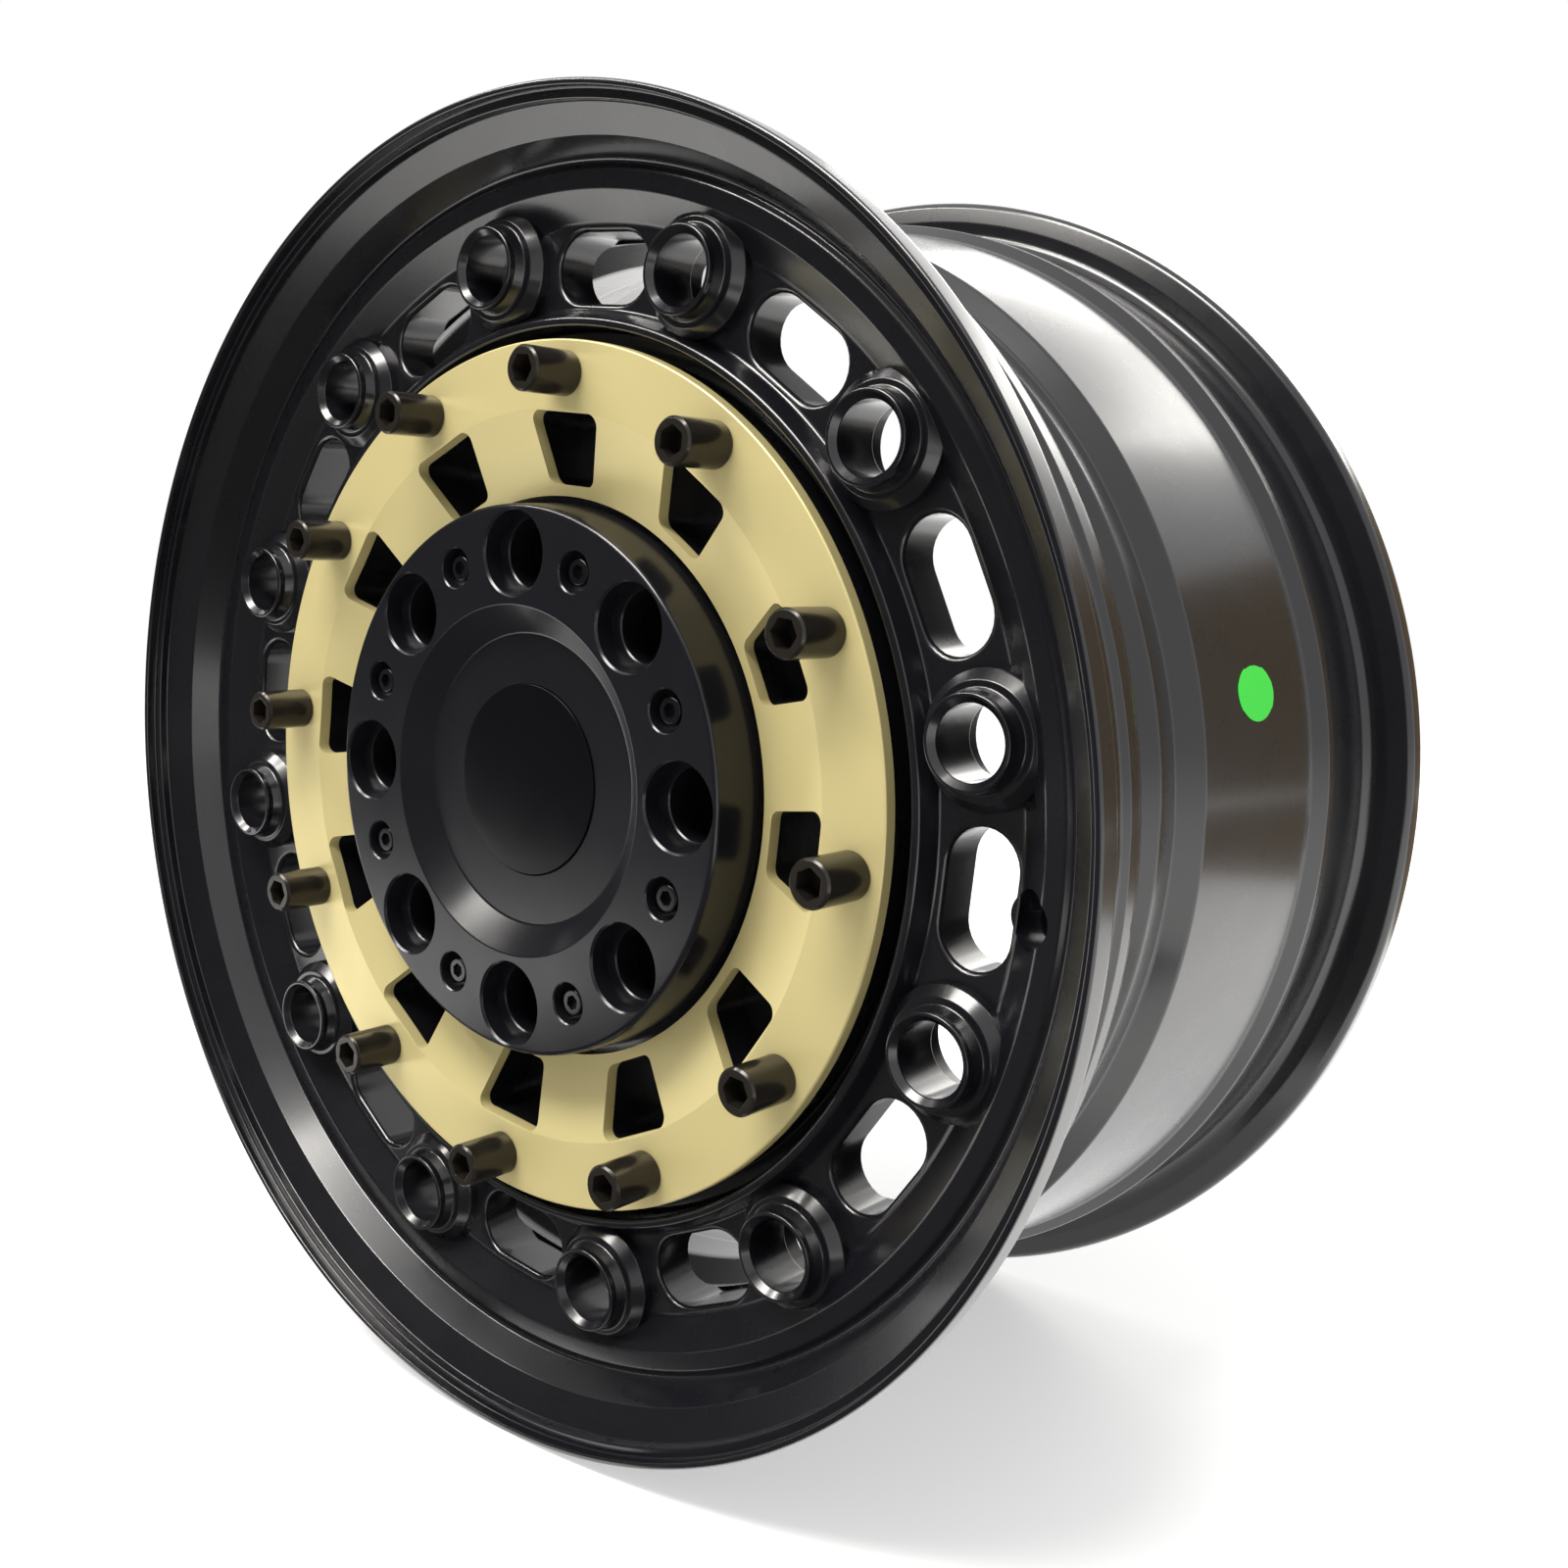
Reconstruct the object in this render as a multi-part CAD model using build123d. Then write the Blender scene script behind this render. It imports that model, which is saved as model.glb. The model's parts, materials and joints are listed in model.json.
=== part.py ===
from build123d import *
from math import radians, sin, cos, sqrt, tan
import os

# Eighteen inch off-road wheel. The wheel stands upright, turns about Y and shows its face towards -Y.
# The origin is on the axis, halfway between the two ends. A depth is measured rearwards from the front plane.

# Rim
bead_seat_diameter = 462.0
rim_width = 215.9
lip_thickness = 25.4
flange_thickness = 12.7
flange_height = 18.0
flange_lean = 2.0
wheel_offset = 24.0
barrel_wall = 8.0
front_seat_width = 20.0
rear_seat_width = 31.0
hump_height = 1.6
hump_width = 5.0
hump_slope = 3.0

# Drop centre, forwards of the barrel's straight part
well_depth = 25.0
well_start_depth = 79.0
well_width = 19.0
well_slope = 8.0
step_height = 7.5
step_width = 11.0
step_slope = 7.0
shelf_height = 15.0

# Outer lip, from its crown inwards
crown_width = 10.7
neck_depth = 13.5
tip_width = 2.6
tip_depth = 4.6
step_run = 3.6
step_depth = 8.4
band_width = 9.8
band_drop = 7.0
lip_wall_lean = 6.4
lip_wall_depth = 12.0
ridge_rise = 1.9
ridge_run = 3.0
ridge_width = 6.6

# Face with windows and bosses
face_depth = 33.5
face_thickness = 17.5
face_slope_run = 11.5
face_width = 30.5
feature_count = 12
boss_clock = -7.5
boss_edge_distance = 11.0
boss_mouth_depth = 19.3
boss_mouth_flare = 2.1
boss_bore_radius = 12.2
boss_lip_radius = 15.6
boss_lip_height = 2.4
boss_undercut = 0.9
boss_tube_radius = 16.6
boss_collar_radius = 22.5
boss_collar_height = 7.0
boss_collar_chamfer = 3.6
boss_back_radius = 16.5
boss_back_depth = 41.0
window_length = 46.0
window_margin = 2.45
window_rounding = 2.2

# Lip that faces the ring, and the gap between them
inner_lip_slope_run = 3.4
inner_lip_width = 3.4
inner_lip_depth = 25.8
ring_gap_width = 4.8
ring_gap_depth = 39.0

# Centre ring
ring_band_width = 25.4
ring_depth = 20.0
ring_thickness = 5.0
ring_cone_drop = 8.6
ring_overhang = 2.6
ring_bevel = 0.8
ring_window_outer_margin = 0.8
ring_window_inner_margin = 4.0
ring_window_outer_width = 36.0
ring_window_inner_width = 22.6
ring_window_corner = 4.0
ring_window_play = 0.6
ring_window_floor = 5.0

# Ring studs
stud_edge_distance = 12.5
stud_head_radius = 8.3
stud_tip_depth = -1.6
stud_bevel = 0.9
stud_thread_radius = 4.0
stud_thread_length = 22.0
stud_socket_across = 9.4
stud_socket_depth = 9.0

# Hub
hub_draft = 4.0
centre_bore_radius = 62.55
lug_count = 8
lug_circle_diameter = 170.0
lug_clock = 1.7
lug_hole_radius = 8.0
lug_pocket_radius = 14.0
lug_seat_angle = 60.0
lug_pad_thickness = 25.0
rear_pocket_radius = 12.0
rear_pocket_depth = 34.0

# Centre cap
cap_rim_width = 2.3
cap_draft = 1.0
cap_face_depth = 8.3
cap_seat_depth = 28.6
cap_gap = 2.6
dish_margin = 3.3
dish_wall_run = 10.6
dish_depth = 8.6
cap_floor_thickness = 5.5
cap_back_run = 2.6
access_radius = 15.7
access_step_radius = 13.0
access_step_depth = 10.0

# Cap insert
insert_radius = 36.2
insert_recess = 1.6
insert_edge_height = 2.4
insert_dome = 0.9
insert_play = 0.15

# Cap screws
screw_pocket_radius = 7.6
screw_pocket_depth = 6.5
screw_head_radius = 5.0
screw_head_height = 4.2
screw_thread_radius = 3.0
screw_thread_length = 26.0
screw_socket_across = 5.0
screw_socket_depth = 2.6

# Valve hole
valve_clock = 97.5
valve_hole_radius = 5.65
valve_pocket_radius = 9.5
valve_pocket_depth = 7.0
valve_tilt = 58.0

# Fits, and how far a cutter runs past the face that it opens
thread_play = 0.1
hole_play = 0.4
overshoot = 1.0

# Roundings
tip_rounding = 0.7
band_rounding = 0.8
groove_rounding = 1.5
ridge_rounding = 2.4
face_rounding = 4.0
boss_rounding = 0.8
cap_rounding = 2.0
dish_rounding = 1.2
screw_rounding = 0.6
flange_rounding = 3.5
seat_rounding = 5.0
step_rounding = 2.5
well_rounding = 7.0
barrel_rounding = 12.0
spoke_rounding = 9.0

# Radii worked out from the sizes above, from the rim inwards and from the bolt circle outwards
seat_radius = bead_seat_diameter / 2
flange_radius = seat_radius + flange_height
well_radius = seat_radius - well_depth
tip_inner_radius = flange_radius - tip_width
band_outer_radius = tip_inner_radius - step_run
band_inner_radius = band_outer_radius - band_width
groove_radius = band_inner_radius - lip_wall_lean
ridge_outer_radius = groove_radius - ridge_run
ridge_inner_radius = ridge_outer_radius - ridge_width
face_outer_radius = ridge_inner_radius - face_slope_run
face_inner_radius = face_outer_radius - face_width
inner_lip_outer_radius = face_inner_radius - inner_lip_slope_run
inner_lip_inner_radius = inner_lip_outer_radius - inner_lip_width
ring_outer_radius = inner_lip_inner_radius - ring_gap_width
ring_crease_radius = ring_outer_radius - ring_band_width
pedestal_radius = ring_outer_radius - ring_overhang
boss_circle_radius = face_outer_radius - boss_edge_distance
window_circle_radius = (face_outer_radius + face_inner_radius) / 2
window_width = face_width - 2 * window_margin
stud_circle_radius = ring_outer_radius - stud_edge_distance
lug_circle_radius = lug_circle_diameter / 2
cap_radius = lug_circle_radius + access_radius + cap_rim_width
hub_radius = cap_radius + cap_draft
ring_inner_radius = hub_radius + cap_gap
dish_outer_radius = lug_circle_radius - access_radius - dish_margin
dish_floor_radius = dish_outer_radius - dish_wall_run

# Depths and angles worked out from the sizes above
width = lip_thickness + rim_width + flange_thickness
half_width = width / 2
hub_depth = lip_thickness + rim_width / 2 - wheel_offset
rear_wall_depth = width - flange_thickness
face_back = face_depth + face_thickness
band_end_depth = step_depth + band_drop
groove_depth = band_end_depth + lip_wall_depth
ridge_depth = groove_depth - ridge_rise
ring_seat_depth = ring_depth + ring_thickness
cone_end_depth = ring_seat_depth + ring_cone_drop
cap_floor_depth = cap_face_depth + dish_depth
screw_seat_depth = cap_face_depth + screw_pocket_depth
window_clock = boss_clock + 180 / feature_count
screw_clock = lug_clock + 180 / lug_count


def rounded_outline(points):
    """Closed face on XY through (x, y) or (x, y, rounding) points."""
    count = len(points)
    starts, ends, arcs = [], [], []
    for i in range(count):
        here = Vector(points[i][0], points[i][1])
        before = Vector(points[i - 1][0], points[i - 1][1])
        after = Vector(points[(i + 1) % count][0], points[(i + 1) % count][1])
        rounding = points[i][2] if len(points[i]) > 2 else 0.0
        to_before = (before - here).normalized()
        to_after = (after - here).normalized()
        if rounding == 0:
            starts.append(here)
            ends.append(here)
            continue
        half_angle = radians(to_before.get_angle(to_after) / 2)
        reach = rounding / tan(half_angle)
        middle = (to_before + to_after).normalized()
        centre = here + middle * (rounding / sin(half_angle))
        starts.append(here + to_before * reach)
        ends.append(here + to_after * reach)
        arcs.append(ThreePointArc(starts[-1], centre - middle * rounding, ends[-1]))
    lines = []
    for i in range(count):
        if (starts[(i + 1) % count] - ends[i]).length > 1e-6:
            lines.append(Line(ends[i], starts[(i + 1) % count]))
    return make_face(lines + arcs)


def turned(points):
    """Solid turned about Y from (radius, depth) or (radius, depth, rounding) points."""
    placed = [(point[0], point[1] - half_width, *point[2:]) for point in points]
    return revolve(rounded_outline(placed), Axis.Y)


def cylinder(radius, start_depth, end_depth):
    return turned([(0, start_depth), (radius, start_depth), (radius, end_depth), (0, end_depth)])


def prism(sketch, start_depth, end_depth):
    """Extrude a sketch drawn with X across and Y outwards from the axis."""
    front = Plane((0, start_depth - half_width, 0), x_dir=(1, 0, 0), z_dir=(0, -1, 0))
    return extrude(front * sketch, amount=start_depth - end_depth)


def around(shape, count, clock, radius=0.0):
    """Copies of a shape about the wheel's axis, the first at the clock angle from the top."""
    step = 360 / count
    return [Rot(0, clock + i * step, 0) * Pos(0, 0, radius) * shape for i in range(count)]


def hexagon(across_flats, start_depth, end_depth):
    sketch = RegularPolygon(across_flats / sqrt(3), 6)
    return prism(sketch, start_depth, end_depth)


def lip_and_face():
    """Front side of the casting's section, from the crown of the lip in to the centre bore."""
    return [
        (flange_radius, 0, tip_rounding),
        (tip_inner_radius, 0, tip_rounding),
        (tip_inner_radius, tip_depth),
        (band_outer_radius, tip_depth),
        (band_outer_radius, step_depth, band_rounding),
        (band_inner_radius, band_end_depth, band_rounding),
        (groove_radius, groove_depth, groove_rounding),
        (ridge_outer_radius, ridge_depth, ridge_rounding),
        (ridge_inner_radius, ridge_depth, ridge_rounding),
        (face_outer_radius, face_depth, face_rounding),
        (face_inner_radius, face_depth, groove_rounding),
        (inner_lip_outer_radius, inner_lip_depth, groove_rounding),
        (inner_lip_inner_radius, inner_lip_depth, groove_rounding),
        (inner_lip_inner_radius, ring_gap_depth),
        (pedestal_radius, ring_gap_depth),
        (pedestal_radius, ring_seat_depth),
        (ring_crease_radius, ring_seat_depth),
        (ring_inner_radius, cone_end_depth),
        (hub_radius, cone_end_depth),
        (hub_radius, cap_seat_depth),
        (centre_bore_radius, cap_seat_depth),
    ]


def hub_and_barrel_inside():
    """Rear side of the casting's section, from the hub face out along the inside of the barrel."""
    inner_seat_radius = seat_radius - barrel_wall
    inner_well_radius = well_radius - barrel_wall
    well_end_depth = well_start_depth + well_width
    shelf_depth = well_end_depth + well_slope + step_width + step_slope
    return [
        (centre_bore_radius, hub_depth),
        (hub_radius, hub_depth, cap_rounding),
        (hub_radius + hub_draft, face_back, spoke_rounding),
        (inner_well_radius + spoke_rounding, face_back, spoke_rounding),
        (inner_well_radius, well_start_depth, barrel_rounding),
        (inner_well_radius, well_end_depth, barrel_rounding),
        (inner_well_radius + shelf_height, shelf_depth + barrel_rounding, barrel_rounding),
        (inner_seat_radius, rear_wall_depth, barrel_rounding),
        (flange_radius - barrel_wall, width),
    ]


def barrel_outside():
    """Tyre side of the casting's section, from the rear flange forwards to the lip."""
    hump_radius = seat_radius + hump_height
    flange_middle = seat_radius + flange_height / 2
    rear_hump_depth = rear_wall_depth - rear_seat_width - hump_slope
    front_hump_depth = lip_thickness + front_seat_width + hump_slope
    well_end_depth = well_start_depth + well_width
    step_start_depth = well_end_depth + well_slope
    step_end_depth = step_start_depth + step_width
    return [
        (flange_radius, width, flange_rounding),
        (flange_radius, rear_wall_depth + flange_lean, flange_rounding),
        (flange_middle, rear_wall_depth, seat_rounding),
        (seat_radius, rear_wall_depth, seat_rounding),
        (seat_radius, rear_wall_depth - rear_seat_width),
        (hump_radius, rear_hump_depth),
        (hump_radius, rear_hump_depth - hump_width),
        (seat_radius - hump_slope, rear_hump_depth - 2 * hump_width, step_rounding),
        (well_radius + shelf_height, step_end_depth + step_slope, step_rounding),
        (well_radius + step_height, step_end_depth, step_rounding),
        (well_radius + step_height, step_start_depth, step_rounding),
        (well_radius, well_end_depth, well_rounding),
        (well_radius, well_start_depth, well_rounding),
        (seat_radius, front_hump_depth + 2 * hump_width, seat_rounding),
        (hump_radius, front_hump_depth + hump_width),
        (hump_radius, front_hump_depth),
        (seat_radius, lip_thickness + front_seat_width),
        (seat_radius, lip_thickness, seat_rounding),
        (flange_middle, neck_depth, seat_rounding),
        (flange_radius, crown_width, flange_rounding),
    ]


def boss_solid():
    """Round boss with a chamfered collar and a lip at its mouth."""
    collar_top = face_depth - boss_collar_height
    lip_end = boss_mouth_depth + boss_lip_height
    return turned([
        (0, boss_mouth_depth),
        (boss_lip_radius, boss_mouth_depth, boss_rounding),
        (boss_lip_radius, lip_end),
        (boss_lip_radius - boss_undercut, lip_end + boss_undercut),
        (boss_tube_radius, collar_top),
        (boss_collar_radius - boss_collar_chamfer, collar_top, boss_rounding),
        (boss_collar_radius, collar_top + boss_collar_chamfer, boss_rounding),
        (boss_collar_radius, face_back - overshoot),
        (0, face_back - overshoot),
    ])


def boss_bore():
    """Through bore of a boss, with a bell mouth and a wider pocket from behind."""
    mouth_radius = boss_bore_radius + boss_mouth_flare
    return turned([
        (0, boss_mouth_depth - overshoot),
        (mouth_radius, boss_mouth_depth - overshoot),
        (mouth_radius, boss_mouth_depth),
        (boss_bore_radius, boss_mouth_depth + boss_lip_height),
        (boss_bore_radius, boss_back_depth),
        (boss_back_radius, boss_back_depth),
        (boss_back_radius, face_back + overshoot),
        (0, face_back + overshoot),
    ])


def window_cutter():
    """Obround cutter whose front edge leaves a rounded window mouth."""
    mouth_growth = 3 * window_rounding
    slot = SlotOverall(window_length, window_width)
    mouth = SlotOverall(window_length + mouth_growth, window_width + mouth_growth)
    shaft = prism(slot, face_depth - overshoot, face_back + overshoot)
    flare = prism(mouth, face_depth - mouth_growth, face_depth)
    cutter = shaft + flare
    mouth_place = face_depth - half_width
    at_mouth = cutter.edges().filter_by_position(Axis.Y, mouth_place - 0.01, mouth_place + 0.01)
    return fillet([edge for edge in at_mouth if is_on_slot(edge)], window_rounding)


def is_on_slot(edge):
    """True for an edge that runs along the window's own outline."""
    half_straight = (window_length - window_width) / 2
    point = edge.position_at(0.5)
    beyond = max(abs(point.X) - half_straight, 0)
    reach = sqrt(beyond ** 2 + point.Z ** 2)
    return abs(reach - window_width / 2) < window_rounding / 2


def ring_window(play, end_depth):
    """Cutter for a tapered window with rounded corners, wider towards the rim."""
    outer = ring_crease_radius - ring_window_outer_margin + play
    inner = ring_inner_radius + ring_window_inner_margin - play
    outer_half = ring_window_outer_width / 2 + play
    inner_half = ring_window_inner_width / 2 + play
    corner = ring_window_corner + play
    sketch = rounded_outline([
        (outer_half, outer, corner),
        (-outer_half, outer, corner),
        (-inner_half, inner, corner),
        (inner_half, inner, corner),
    ])
    return prism(sketch, ring_depth - overshoot, end_depth)


def lug_hole():
    """Wheel bolt hole with its pocket and conical seat."""
    seat_end = hub_depth - lug_pad_thickness
    seat_start = seat_end - (lug_pocket_radius - lug_hole_radius) / tan(radians(lug_seat_angle / 2))
    return turned([
        (0, cap_seat_depth - overshoot),
        (lug_pocket_radius, cap_seat_depth - overshoot),
        (lug_pocket_radius, seat_start),
        (lug_hole_radius, seat_end),
        (lug_hole_radius, hub_depth + overshoot),
        (0, hub_depth + overshoot),
    ])


def valve_hole():
    """Valve hole with its pocket, drilled from the slope by the face out into the tyre space."""
    tilt = radians(valve_tilt)
    out = Vector(0, sin(tilt), cos(tilt))
    start_radius = (face_outer_radius + ridge_inner_radius) / 2
    start_depth = (face_depth + ridge_depth) / 2
    start = Vector(0, start_depth - half_width, start_radius)
    approach = valve_pocket_radius + overshoot
    through = flange_radius - well_radius
    mouth = Plane(start - out * approach, x_dir=(1, 0, 0), z_dir=out)
    pocket = extrude(mouth * Circle(valve_pocket_radius), approach + valve_pocket_depth)
    hole = extrude(mouth * Circle(valve_hole_radius), approach + through)
    return Rot(0, valve_clock, 0) * (pocket + hole)


def make_wheel_casting():
    body = turned(lip_and_face() + hub_and_barrel_inside() + barrel_outside())
    body = body + around(boss_solid(), feature_count, boss_clock, boss_circle_radius)
    cuts = around(boss_bore(), feature_count, boss_clock, boss_circle_radius)
    cuts += around(window_cutter(), feature_count, window_clock, window_circle_radius)
    pocket = ring_window(ring_window_play, face_back - ring_window_floor)
    cuts += around(pocket, feature_count, window_clock)
    stud_hole = cylinder(
        stud_thread_radius + thread_play,
        ring_seat_depth - overshoot,
        ring_depth + stud_thread_length + overshoot,
    )
    cuts += around(stud_hole, feature_count, window_clock, stud_circle_radius)
    cuts += around(lug_hole(), lug_count, lug_clock, lug_circle_radius)
    screw_hole = cylinder(
        screw_thread_radius + thread_play,
        cap_seat_depth - overshoot,
        screw_seat_depth + screw_thread_length + overshoot,
    )
    cuts += around(screw_hole, lug_count, screw_clock, lug_circle_radius)
    rear_pocket = cylinder(rear_pocket_radius, hub_depth - rear_pocket_depth, hub_depth + overshoot)
    cuts += around(rear_pocket, lug_count, screw_clock, lug_circle_radius)
    cuts.append(valve_hole())
    return body - cuts


def make_centre_ring():
    """Flat-edged ring whose inner part falls away in a cone."""
    ring = turned([
        (ring_outer_radius, ring_depth, ring_bevel),
        (ring_outer_radius, ring_seat_depth),
        (ring_crease_radius, ring_seat_depth),
        (ring_inner_radius, cone_end_depth),
        (ring_inner_radius, ring_depth + ring_cone_drop),
        (ring_crease_radius, ring_depth),
    ])
    hole = cylinder(stud_thread_radius + hole_play, ring_depth - overshoot, ring_seat_depth + overshoot)
    cuts = around(ring_window(0, cone_end_depth + overshoot), feature_count, window_clock)
    cuts += around(hole, feature_count, window_clock, stud_circle_radius)
    return ring - cuts


def make_ring_studs():
    """Long socket-head bolts that stand on the ring and screw into the pedestal."""
    stud = turned([
        (0, stud_tip_depth),
        (stud_head_radius - stud_bevel, stud_tip_depth),
        (stud_head_radius, stud_tip_depth + stud_bevel),
        (stud_head_radius, ring_depth),
        (stud_thread_radius, ring_depth),
        (stud_thread_radius, ring_depth + stud_thread_length),
        (0, ring_depth + stud_thread_length),
    ])
    stud = stud - hexagon(
        stud_socket_across, stud_tip_depth - overshoot, stud_tip_depth + stud_socket_depth
    )
    return Compound(around(stud, feature_count, window_clock, stud_circle_radius))


def make_centre_cap():
    """Bolted cap with a dish in its face, holes for the wheel nuts and pockets for its screws."""
    recess_depth = cap_floor_depth + insert_recess
    recess_radius = insert_radius + insert_play
    back_depth = cap_floor_depth + cap_floor_thickness
    back_radius = dish_floor_radius + cap_back_run
    step_depth_in_cap = cap_face_depth + access_step_depth
    cap = turned([
        (0, recess_depth),
        (recess_radius, recess_depth),
        (recess_radius, cap_floor_depth),
        (dish_floor_radius, cap_floor_depth, dish_rounding),
        (dish_outer_radius, cap_face_depth, dish_rounding),
        (cap_radius, cap_face_depth, cap_rounding),
        (hub_radius, cap_seat_depth),
        (back_radius, cap_seat_depth),
        (back_radius, back_depth),
        (0, back_depth),
    ])
    access = turned([
        (0, cap_face_depth - overshoot),
        (access_radius, cap_face_depth - overshoot),
        (access_radius, step_depth_in_cap),
        (access_step_radius, step_depth_in_cap),
        (access_step_radius, cap_seat_depth + overshoot),
        (0, cap_seat_depth + overshoot),
    ])
    pocket = turned([
        (0, cap_face_depth - overshoot),
        (screw_pocket_radius, cap_face_depth - overshoot),
        (screw_pocket_radius, screw_seat_depth),
        (screw_thread_radius + hole_play, screw_seat_depth),
        (screw_thread_radius + hole_play, cap_seat_depth + overshoot),
        (0, cap_seat_depth + overshoot),
    ])
    cuts = around(access, lug_count, lug_clock, lug_circle_radius)
    cuts += around(pocket, lug_count, screw_clock, lug_circle_radius)
    return cap - cuts


def make_cap_insert():
    """Shallow domed disc that lies in the cap's recess."""
    back = cap_floor_depth + insert_recess - half_width
    edge = back - insert_edge_height
    dome_radius = (insert_radius ** 2 + insert_dome ** 2) / (2 * insert_dome)
    halfway_rise = sqrt(dome_radius ** 2 - (insert_radius / 2) ** 2) - dome_radius + insert_dome
    top = Vector(0, edge - insert_dome)
    halfway = Vector(insert_radius / 2, edge - halfway_rise)
    rim = Vector(insert_radius, edge)
    low = Vector(insert_radius, back)
    middle = Vector(0, back)
    outline = [ThreePointArc(top, halfway, rim), Line(rim, low), Line(low, middle), Line(middle, top)]
    return revolve(make_face(outline), Axis.Y)


def make_cap_screws():
    """Small socket-head screws that hold the cap on the hub."""
    top = screw_seat_depth - screw_head_height
    end = screw_seat_depth + screw_thread_length
    screw = turned([
        (0, top),
        (screw_head_radius, top, screw_rounding),
        (screw_head_radius, screw_seat_depth),
        (screw_thread_radius, screw_seat_depth),
        (screw_thread_radius, end),
        (0, end),
    ])
    screw = screw - hexagon(screw_socket_across, top - overshoot, top + screw_socket_depth)
    return Compound(around(screw, lug_count, screw_clock, lug_circle_radius))


os.makedirs("parts", exist_ok=True)
export_step(make_wheel_casting(), "parts/wheel_casting.step")
export_step(make_centre_ring(), "parts/centre_ring.step")
export_step(make_ring_studs(), "parts/ring_studs.step")
export_step(make_centre_cap(), "parts/centre_cap.step")
export_step(make_cap_insert(), "parts/cap_insert.step")
export_step(make_cap_screws(), "parts/cap_screws.step")
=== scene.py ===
import json
import math

import bpy
from mathutils import Euler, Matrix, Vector


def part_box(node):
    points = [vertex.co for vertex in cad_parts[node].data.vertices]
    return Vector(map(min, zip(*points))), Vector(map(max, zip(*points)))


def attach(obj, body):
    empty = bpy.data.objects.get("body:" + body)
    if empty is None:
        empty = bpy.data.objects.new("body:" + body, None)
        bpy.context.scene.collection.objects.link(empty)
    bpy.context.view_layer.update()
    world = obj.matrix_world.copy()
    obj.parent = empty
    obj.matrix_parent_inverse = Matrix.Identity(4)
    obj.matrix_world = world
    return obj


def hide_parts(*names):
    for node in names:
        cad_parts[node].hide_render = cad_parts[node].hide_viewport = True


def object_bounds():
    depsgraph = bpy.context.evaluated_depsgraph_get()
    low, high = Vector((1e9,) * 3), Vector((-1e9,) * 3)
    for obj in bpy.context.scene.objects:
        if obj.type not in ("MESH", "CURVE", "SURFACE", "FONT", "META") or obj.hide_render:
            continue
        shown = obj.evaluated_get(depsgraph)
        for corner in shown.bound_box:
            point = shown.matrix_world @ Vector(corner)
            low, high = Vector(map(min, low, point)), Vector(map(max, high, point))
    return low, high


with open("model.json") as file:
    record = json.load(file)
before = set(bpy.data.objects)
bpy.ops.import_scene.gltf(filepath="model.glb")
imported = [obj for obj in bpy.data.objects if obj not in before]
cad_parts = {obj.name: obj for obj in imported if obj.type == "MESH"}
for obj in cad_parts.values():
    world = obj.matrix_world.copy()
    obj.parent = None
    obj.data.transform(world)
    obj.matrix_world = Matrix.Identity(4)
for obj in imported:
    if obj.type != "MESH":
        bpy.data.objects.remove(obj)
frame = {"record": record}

bl_info = {
    "name": "Off-road wheel",
    "version": (1, 0, 0),
    "blender": (4, 5, 0),
    "location": "View3D > Sidebar > Wheel",
    "description": "Models and finishes a cast off-road wheel round its packed frame",
    "category": "Object",
}

CAD_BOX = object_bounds()
BODY = "root"
MM = 0.001

# Modelling: how far cutters stand past a surface, when points count as one, and how finely corners round
CUT_PAST = 1.0
WINDOW_CUT_PAST = 4.0
RING_CUT_PAST = 5.0
MERGE_DISTANCE = 0.004 * MM
DEGENERATE_LENGTH = 0.002 * MM
SMOOTH_ANGLE = 32
RING_SMOOTH_ANGLE = 24
BEVEL_ANGLE = 40
BEVEL_STEPS = 2
CORNER_STEPS = 6
RING_CORNER_STEPS = 8
WINDOW_ARC_STEPS = 16

# Sizes read from the frame, in millimetres; a depth runs rearwards from the front plane
FLANGE_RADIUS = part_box("wheel_casting")[1].z / MM
HALF_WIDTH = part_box("wheel_casting")[1].y / MM
WIDTH = 2 * HALF_WIDTH
RING_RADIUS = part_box("centre_ring")[1].z / MM
RING_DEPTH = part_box("centre_ring")[0].y / MM + HALF_WIDTH
RING_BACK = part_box("centre_ring")[1].y / MM + HALF_WIDTH
STUD_TIP_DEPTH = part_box("ring_studs")[0].y / MM + HALF_WIDTH
CAP_BASE_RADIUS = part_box("centre_cap")[1].z / MM
CAP_FACE_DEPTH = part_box("centre_cap")[0].y / MM + HALF_WIDTH
CAP_SEAT_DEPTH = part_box("centre_cap")[1].y / MM + HALF_WIDTH
INSERT_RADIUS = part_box("cap_insert")[1].z / MM
INSERT_TOP_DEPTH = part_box("cap_insert")[0].y / MM + HALF_WIDTH
INSERT_BACK_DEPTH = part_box("cap_insert")[1].y / MM + HALF_WIDTH
SCREW_TOP_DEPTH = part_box("cap_screws")[0].y / MM + HALF_WIDTH
SCREW_END_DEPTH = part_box("cap_screws")[1].y / MM + HALF_WIDTH
MOUNTS = {mount["name"]: mount for mount in frame["record"]["mounts"]}
HUB_DEPTH = MOUNTS["hub_face"]["pos_m"][1] / MM + HALF_WIDTH
CENTRE_BORE_RADIUS = MOUNTS["hub_bore"]["dims"]["r_mm"]
LUG_CIRCLE_RADIUS = MOUNTS["wheel_bolts"]["dims"]["pcd_mm"] / 2
LUG_HOLE_RADIUS = MOUNTS["wheel_bolts"]["dims"]["hole_r_mm"]
LUG_COUNT = MOUNTS["wheel_bolts"]["dims"]["count"]

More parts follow.
